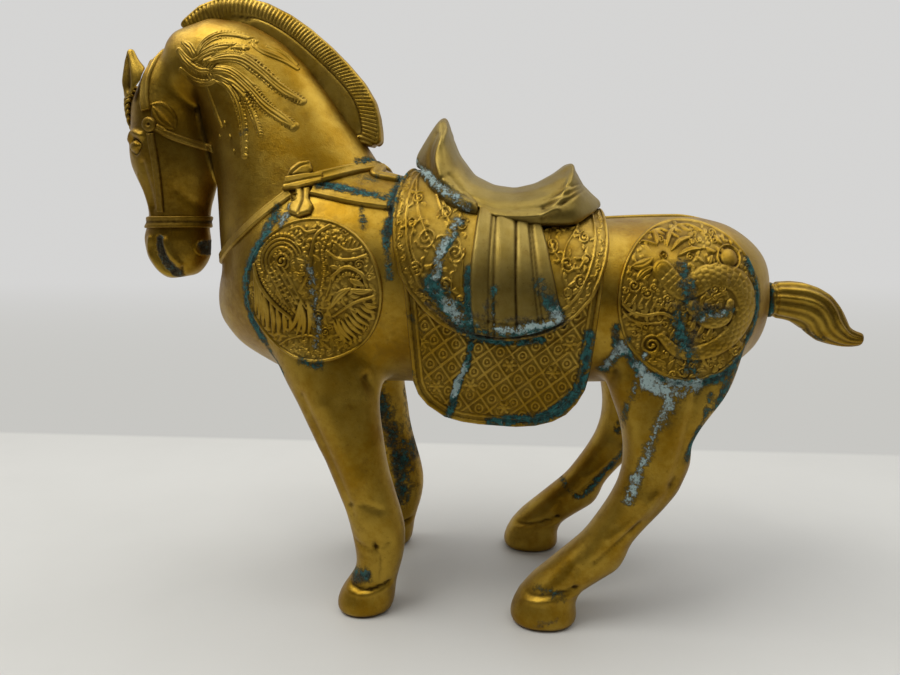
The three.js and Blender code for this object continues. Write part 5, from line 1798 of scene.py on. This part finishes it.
def neck_pattern():
    """Locks that spring from behind the ear and sweep back along the neck."""
    sheet = Sheet([-142, 188], [-74, 256], 0.2)
    chance = np.random.default_rng(2)
    for line, width, strands, height in NECK_LOCKS:
        sheet.ridge(line, width, height, ends=(0.6, 0.7), flat=0.1)
    for line, width, strands, height in NECK_LOCKS:
        run = spline(line, 14)
        along = unit(np.gradient(run, axis=0))
        across = np.stack([-along[:, 1], along[:, 0]], axis=1)
        fan = np.interp(np.linspace(0, 1, len(run)), [0, 0.5, 0.85, 1], [0.6, 1.0, 1.0, 0.5])[:, None]
        for n in range(1, strands):
            place = (n / strands - 0.5) * width * fan
            wave = 0.18 * np.sin(np.linspace(0, 9, len(run)) + chance.uniform(0, 6))[:, None]
            sheet.groove(run + across * (place + wave), 0.7, 0.55, smooth=False, ends=(0.4, 0.2))
        if width < 4.4:
            continue
        lengths = lengths_along(run)
        for at in np.arange(0.45 * lengths[-1], lengths[-1], 1.35):
            n = min(int(np.searchsorted(lengths, at)), len(run) - 1)
            for side in (-1, 1):
                start = run[n] + side * across[n] * width * 0.30 * fan[n]
                end = start + side * across[n] * width * 0.34 + along[n] * 1.3
                sheet.groove([start, end], 0.55, 0.5, smooth=False)
    for x, z in ((-123.4, 221.8), (-121.6, 214.7), (-119.6, 205.2),
                 (-113.6, 204.6), (-111.6, 198.4), (-116.4, 210.6)):
        sheet.ridge([[x, z + 1.6], [x + 0.6, z - 1.6]], 1.0, 0.7, ends=(0.4, 0.4))
    sheet.groove([[-121, 238.6], [-112, 243.2], [-104.4, 247.0]], 0.7, 0.7, smooth=False)
    sheet.blob([-121.4, 236.4], [2.2, 1.6], 0.5)
    return sheet


def add_neck_relief(skin):
    sheet = neck_pattern()
    x, z = lattice((-139.5, 192), (-78, 252), 0.26)
    places = blur_lattice(skin.beside(x, z), 3.0)
    height = sheet.sample(x, z)
    shown = blur_lattice((height > 0.05).astype(float), 4.0)
    inside = (shown - 0.2) * 6
    piece = plate(places, inside, height - 0.12, -0.6, hollows_of(height, 0.26), corner=0.3, soft=0.2)
    finished_pair("body_half", piece, RELIEF, crease=70, name="neck_relief")


# ---------------------------------------------------------------- harness

BREAST_STRAP_WIDTH, CHEST_STRAP_WIDTH, CRUPPER_WIDTH = 5.6, 4.4, 11.0
CROWN_STRAP_WIDTH, BRIDLE_STRAP_WIDTH, NOSEBAND_WIDTH = 4.6, 3.6, 5.4
TEMPLE = np.array([-152.4, 211.4])


def ridged(width, height=0.4, share=0.62):
    """A strap's two raised edges."""
    return lambda t, s: height * np.exp(-((np.abs(s) - share * width / 2) / (0.14 * width)) ** 2)


def knot_sheet():
    sheet = Sheet([-92, 164], [-66, 200], 0.16)
    sheet.slab([[-82.6, 182], [-81.1, 178.4], [-83.8, 174.2], [-83.3, 171.2], [-78.4, 169.6], [-73.5, 171.0],
                [-72.7, 174.1], [-75.3, 177.4], [-75.5, 182]], 1.7, 1.4)
    sheet.groove([[-78.6, 181], [-77.6, 176], [-78.6, 171]], 1.0, 0.5)
    sheet.curl([-81.2, 177.2], 2.0, 1.3, 60, 0.9, 2.2)
    sheet.slab([[-86.2, 186.2], [-84.9, 190.2], [-81.4, 193.0], [-77.0, 193.6],
                [-75.4, 189.6], [-76.4, 186.6]], 2.0, 1.8)
    sheet.groove([[-84, 187.4], [-80.6, 190.6], [-77.4, 191.6]], 1.0, 0.5)
    sheet.slab([[-87.4, 180.6], [-86.4, 186.6], [-79.0, 187.7], [-71.2, 188.2],
                [-70.8, 183.2], [-80.2, 180.9]], 2.5, 0.9)
    sheet.groove([[-86, 183], [-79, 184.4], [-71.4, 185.6]], 0.8, 0.35)
    return sheet


def add_knots(skin):
    drawn = knot_sheet()
    shown = blur_lattice((drawn.height > 0.3).astype(float), 3.0)

    def knot_edge(x, z):
        return 2.4 * (drawn.sample(x, z, shown) - 0.5)

    def knot_top(x, z, _):
        return 0.4 + drawn.sample(x, z)

    piece = side_plate(skin, (-90, 167), (-70, 197), knot_edge, knot_top, step=0.22, corner=0.6, soft=0.5)
    finished_pair("breast_knot", piece, STRAPS, crease=60)


def add_breast_straps(skin):
    for name, line in (("upper_breast_strap", [[-38.6, 195.6], [-43, 194.8], [-58, 190.8], [-75, 185.8]]),
                       ("lower_breast_strap", [[-38.6, 174.6], [-43, 174.8], [-57, 177.0], [-75, 181.0]])):
        piece = ribbon(skin, on_side(skin, line), BREAST_STRAP_WIDTH, 0.3, ridged(BREAST_STRAP_WIDTH))
        finished_pair(name, piece, STRAPS, crease=50)


BREAST_MIDDLE = -98.0                 # a place inside the breast that the chest strap runs round
CHEST_STRAP_LOW, CHEST_STRAP_SAG = 160.4, 9.4


def add_chest_strap(skin):
    """From the knot, down beside the breast, and round its front to the middle."""
    beside = on_side(skin, [[-84, 180.4], [-97, 170.8], [-110, CHEST_STRAP_LOW]])
    share = np.linspace(0.08, 1, 16)
    first = math.atan2(beside[-1, 1], beside[-1, 0] - BREAST_MIDDLE)
    bearing = first + share * (-math.pi - first)
    height = CHEST_STRAP_LOW - CHEST_STRAP_SAG * np.sin(share * math.pi / 2)
    inside = np.stack([0 * share + BREAST_MIDDLE, 0 * share, height], axis=1)
    round_front = skin.hits(inside, np.stack([np.cos(bearing), np.sin(bearing), 0 * share], axis=1))
    path = np.vstack([beside, round_front])
    edges = ridged(CHEST_STRAP_WIDTH, 0.25, 0.8)
    piece = ribbon(skin, path, CHEST_STRAP_WIDTH, 0.3, edges, top=1.2, lift=3.0)
    finished_pair("chest_strap", piece, STRAPS, crease=50)


def add_crupper(skin):
    """Along the croup, sinking into it towards the tail."""
    croup = np.array([[x, 0, 200] for x in np.linspace(47.4, 92, 30)])
    path = skin.hits(croup, np.tile([0.0, 0.0, -1.0], (len(croup), 1)))
    edges = ridged(CRUPPER_WIDTH, 0.3, 0.8)

    def fading(along, across):
        return edges(along, across) - 1.0 * ramp(along, 30, 44)

    piece = ribbon(skin, path, CRUPPER_WIDTH, 0.4, fading, top=0.9, back=-0.4)
    finished("crupper_strap", piece, STRAPS, crease=50)


ROSETTE_RADIUS = 3.4


def add_rosettes(head_skin):
    def rosette_edge(x, z):
        return ROSETTE_RADIUS - np.hypot(x - TEMPLE[0], z - TEMPLE[1])

    def rosette_top(x, z, _):
        away = np.hypot(x - TEMPLE[0], z - TEMPLE[1])
        boss = 0.7 * np.sqrt(np.clip(1 - (away / ROSETTE_RADIUS) ** 2, 0, 1))
        return 1.3 + boss - 0.9 * np.exp(-(away / 0.8) ** 2)

    piece = side_plate(head_skin, TEMPLE - 5, TEMPLE + 5, rosette_edge, rosette_top, step=0.2)
    finished_pair("rosette", piece, STRAPS, crease=60)


def add_bridle_straps(head_skin):
    bridle = (
        ("cheek_strap", [TEMPLE + [0, -3.6], [-151.4, 192], [-152.6, 173.4]]),
        ("throat_strap", [TEMPLE + [2.8, -1.2], [-143.6, 206.6], [-135.2, 203.5], [-126.2, 201.2]]),
    )
    for name, line in bridle:
        piece = ribbon(head_skin, on_side(head_skin, line), BRIDLE_STRAP_WIDTH, 0.26,
                       ridged(BRIDLE_STRAP_WIDTH, 0.3), top=1.1)
        finished_pair(name, piece, STRAPS, crease=50)


def add_crown_strap(head_skin):
    """From one temple, behind the ears and over the poll, to the other temple."""
    angles = np.linspace(-0.36, math.pi + 0.36, 90)
    ways = np.stack([0 * angles, -np.cos(angles), np.sin(angles)], axis=1)
    x = np.full(len(angles), -150.0)
    for _ in range(4):
        centres = np.stack([x, 0 * x, 0 * x + 223.0], axis=1)
        path = head_skin.around(centres, ways)
        x = np.interp(path[:, 2], [214.0, 222, 231, 240, 248], [-153.4, -155, -154.8, -152.0, -148.0])
    piece = ribbon(head_skin, path, CROWN_STRAP_WIDTH, 0.3, ridged(CROWN_STRAP_WIDTH, 0.3), top=1.1)
    finished("crown_strap", piece, STRAPS, crease=50)


MUZZLE_MIDDLE = (-149.0, 169.0)


def add_noseband(head_skin):
    """A closed band round the muzzle."""
    turns, rows = 200, 25
    angle = np.linspace(0, 2 * math.pi, turns, endpoint=False)[:, None] + np.zeros(rows)
    s = np.linspace(-0.5, 0.5, rows)[None, :] * NOSEBAND_WIDTH + 0 * angle
    ways = np.stack([-np.cos(angle), -np.sin(angle), 0 * angle], axis=-1)
    centres = np.stack([0 * s + MUZZLE_MIDDLE[0], 0 * s, MUZZLE_MIDDLE[1] + s], axis=-1)
    ground = head_skin.hits(centres.reshape(-1, 3), ways.reshape(-1, 3)).reshape(ways.shape)
    wrapped = np.concatenate([ground[-12:], ground, ground[:12]])
    ground = blur_lattice(wrapped, 2.0)[12:-12]
    corner = 0.9
    rounding = corner * (1 - rounded(0.5 * NOSEBAND_WIDTH - np.abs(s), corner))
    height = 1.35 - rounding - 0.4 * np.exp(-(s / 1.0) ** 2)
    knobs = np.exp(-(angle / 0.10) ** 2 - (s / 2.0) ** 2)
    outer = ground + ways * (height + 0.9 * knobs)[..., None]
    inner = ground + ways * BURIED
    ring = np.concatenate([outer, inner[:, ::-1]], axis=1)
    count = ring.shape[1]
    number = np.arange(turns * count).reshape(turns, count)
    ahead = np.roll(number, -1, axis=0)
    beside = np.roll(number, -1, axis=1)
    both = np.roll(ahead, -1, axis=1)
    quads = np.stack([number, ahead, both, beside], axis=-1).reshape(-1, 4)
    points = ring.reshape(-1, 3)
    if signed_volume(points, quads) < 0:
        quads = quads[:, ::-1]
    # painted shade in the groove along the band's middle
    dark = np.zeros((turns, count))
    dark[:, :rows] = 0.7 * np.exp(-(s / 0.8) ** 2)
    finished("noseband", (points, quads, dark.ravel()), STRAPS, crease=50)


def signed_volume(points, faces):
    t = triangles_of(faces)
    return (points[t[:, 0]] * np.cross(points[t[:, 1]], points[t[:, 2]])).sum() / 6


# ---------------------------------------------------------------- assembly

skin, head_skin = build_casting()
for medallion_name, outline, drawn_pattern in (("chest_medallion", CHEST_MEDALLION, chest_pattern()),
                                               ("rump_medallion", RUMP_MEDALLION, rump_pattern())):
    finished_pair(medallion_name, medallion(skin, outline, drawn_pattern), RELIEF, crease=50)
add_mudguards(skin)
add_blanket(skin)
add_drapes(skin)
add_saddle(skin)
add_mane(skin)
add_ears()
add_forelock()
add_tail()
add_neck_relief(skin)
add_knots(skin)
add_breast_straps(skin)
add_chest_strap(skin)
add_crupper(skin)
add_rosettes(head_skin)
add_bridle_straps(head_skin)
add_crown_strap(head_skin)
add_noseband(head_skin)


# ---------------------------------------------------------------- table, light and camera


# The third tone is painted shade: the table in front of the horse, dark for the horse's reflections.
TABLE_TONE, MARK_TONE, NEAR_TONE = (0.63, 0.627, 0.60), (0.58, 0.578, 0.55), (0.20, 0.195, 0.185)
TABLE_WIDE = 6.0                      # metres from the horse to each side
TABLE_END = 215.0                     # the table's tone changes to the wall's this far behind the horse
# The wall's tones are painted light: the plane glows in them, darker low down and paler far off.
WALL_LOW, WALL_TONE = (0.575, 0.570, 0.545), (0.665, 0.662, 0.655)
ROOM_TONE = (0.036, 0.034, 0.031)     # the dim room on the horse's left


def add_floor():
    """A pale table, painted dark well in front of the horse as shade in its reflections, that turns behind
    it into a glowing wall of painted light in the wall's tone.
    """
    mesh = bpy.data.meshes.new("table")
    corners = [(x * TABLE_WIDE, y * TABLE_WIDE, 0) for x, y in ((-1, -1), (1, -1), (1, 1), (-1, 1))]
    mesh.from_pydata(corners, [], [(0, 1, 2, 3)])
    table = bpy.data.objects.new("table", mesh)
    bpy.context.scene.collection.objects.link(table)
    material = bpy.data.materials.new("table")
    material.use_nodes = True
    graph = Graph(material.node_tree)
    behind = graph.axes()["Y"]
    shader = graph.nodes["Principled BSDF"]
    shader.inputs["Roughness"].default_value = 0.5
    shader.inputs["Specular IOR Level"].default_value = 0.3
    marks = graph.times(graph.between(graph.noise(60, 4, 0.6), 0.35, 0.75), 0.25)
    pale = graph.mixed(marks, TABLE_TONE, MARK_TONE)
    # painted shade: the table beyond the camera is dark, so that the horse reflects a dim room
    nearer = graph.between(behind, -0.85, -0.40)
    graph.feed(graph.mixed(nearer, NEAR_TONE, pale), shader.inputs["Base Color"])
    # Painted light: beyond the table's end the plane glows in the wall's tones instead of being lit.
    wall = graph.nodes.new("ShaderNodeEmission")
    rise = graph.between(behind, TABLE_END * MM, 2.2)
    graph.feed(graph.mixed(rise, WALL_LOW, WALL_TONE), wall.inputs["Color"])
    mix = graph.nodes.new("ShaderNodeMixShader")
    edge = graph.between(behind, (TABLE_END - 5) * MM, (TABLE_END + 5) * MM)
    for value, socket in zip((edge, shader.outputs[0], wall.outputs[0]), mix.inputs):
        graph.feed(value, socket)
    graph.feed(mix.outputs[0], graph.nodes["Material Output"].inputs["Surface"])
    table.data.materials.append(material)


def area_light(name, place, aim, size, power, colour=(1, 1, 1)):
    lamp = bpy.data.lights.new(name, "AREA")
    lamp.shape = "RECTANGLE"
    lamp.size, lamp.size_y = size
    lamp.energy = power
    lamp.color = colour
    light = bpy.data.objects.new(name, lamp)
    light.location = place
    light.rotation_euler = (Vector(aim) - Vector(place)).to_track_quat("-Z", "Y").to_euler()
    bpy.context.scene.collection.objects.link(light)


def add_lights():
    """A pale room, dimmer on the side the horse's left faces, and two soft lights overhead."""
    world = bpy.data.worlds.new("studio")
    world.use_nodes = True
    graph = Graph(world.node_tree, "Generated")
    axes = graph.axes()
    background = graph.nodes["Background"]
    background.inputs["Strength"].default_value = 1.0
    above = graph.times(graph.between(axes["Z"], 0.30, 0.9), 0.8)
    share = graph.math("MAXIMUM", graph.between(axes["Y"], -0.45, 0.40), above)
    graph.feed(graph.mixed(share, ROOM_TONE, WALL_TONE), background.inputs["Color"])
    bpy.context.scene.world = world
    middle = (0, 0, 0.12)
    area_light("window", (-0.45, -0.22, 1.0), middle, (0.8, 0.5), 6.5, (1.0, 0.985, 0.95))
    area_light("ceiling", (0.45, 0.1, 1.1), middle, (1.0, 0.7), 4.5)


CAMERA_PLACE = (0.01844, -0.328, 0.163)
CAMERA_PAN, CAMERA_DOWN, CAMERA_ROLL = 6, 8.2, -0.28


def add_camera():
    lens = bpy.data.cameras.new("camera")
    lens.lens = 28.8
    lens.sensor_width = 36
    lens.dof.use_dof = False
    lens.clip_start = 0.01
    camera = bpy.data.objects.new("camera", lens)
    turn = Matrix.Rotation(math.radians(CAMERA_PAN), 4, "Z")
    tilt = Matrix.Rotation(math.radians(90 - CAMERA_DOWN), 4, "X")
    roll = Matrix.Rotation(math.radians(CAMERA_ROLL), 4, "Z")
    camera.matrix_world = Matrix.Translation(CAMERA_PLACE) @ turn @ tilt @ roll
    bpy.context.scene.collection.objects.link(camera)
    bpy.context.scene.camera = camera


add_floor()
add_lights()
add_camera()
bpy.context.scene.view_settings.view_transform = "Standard"
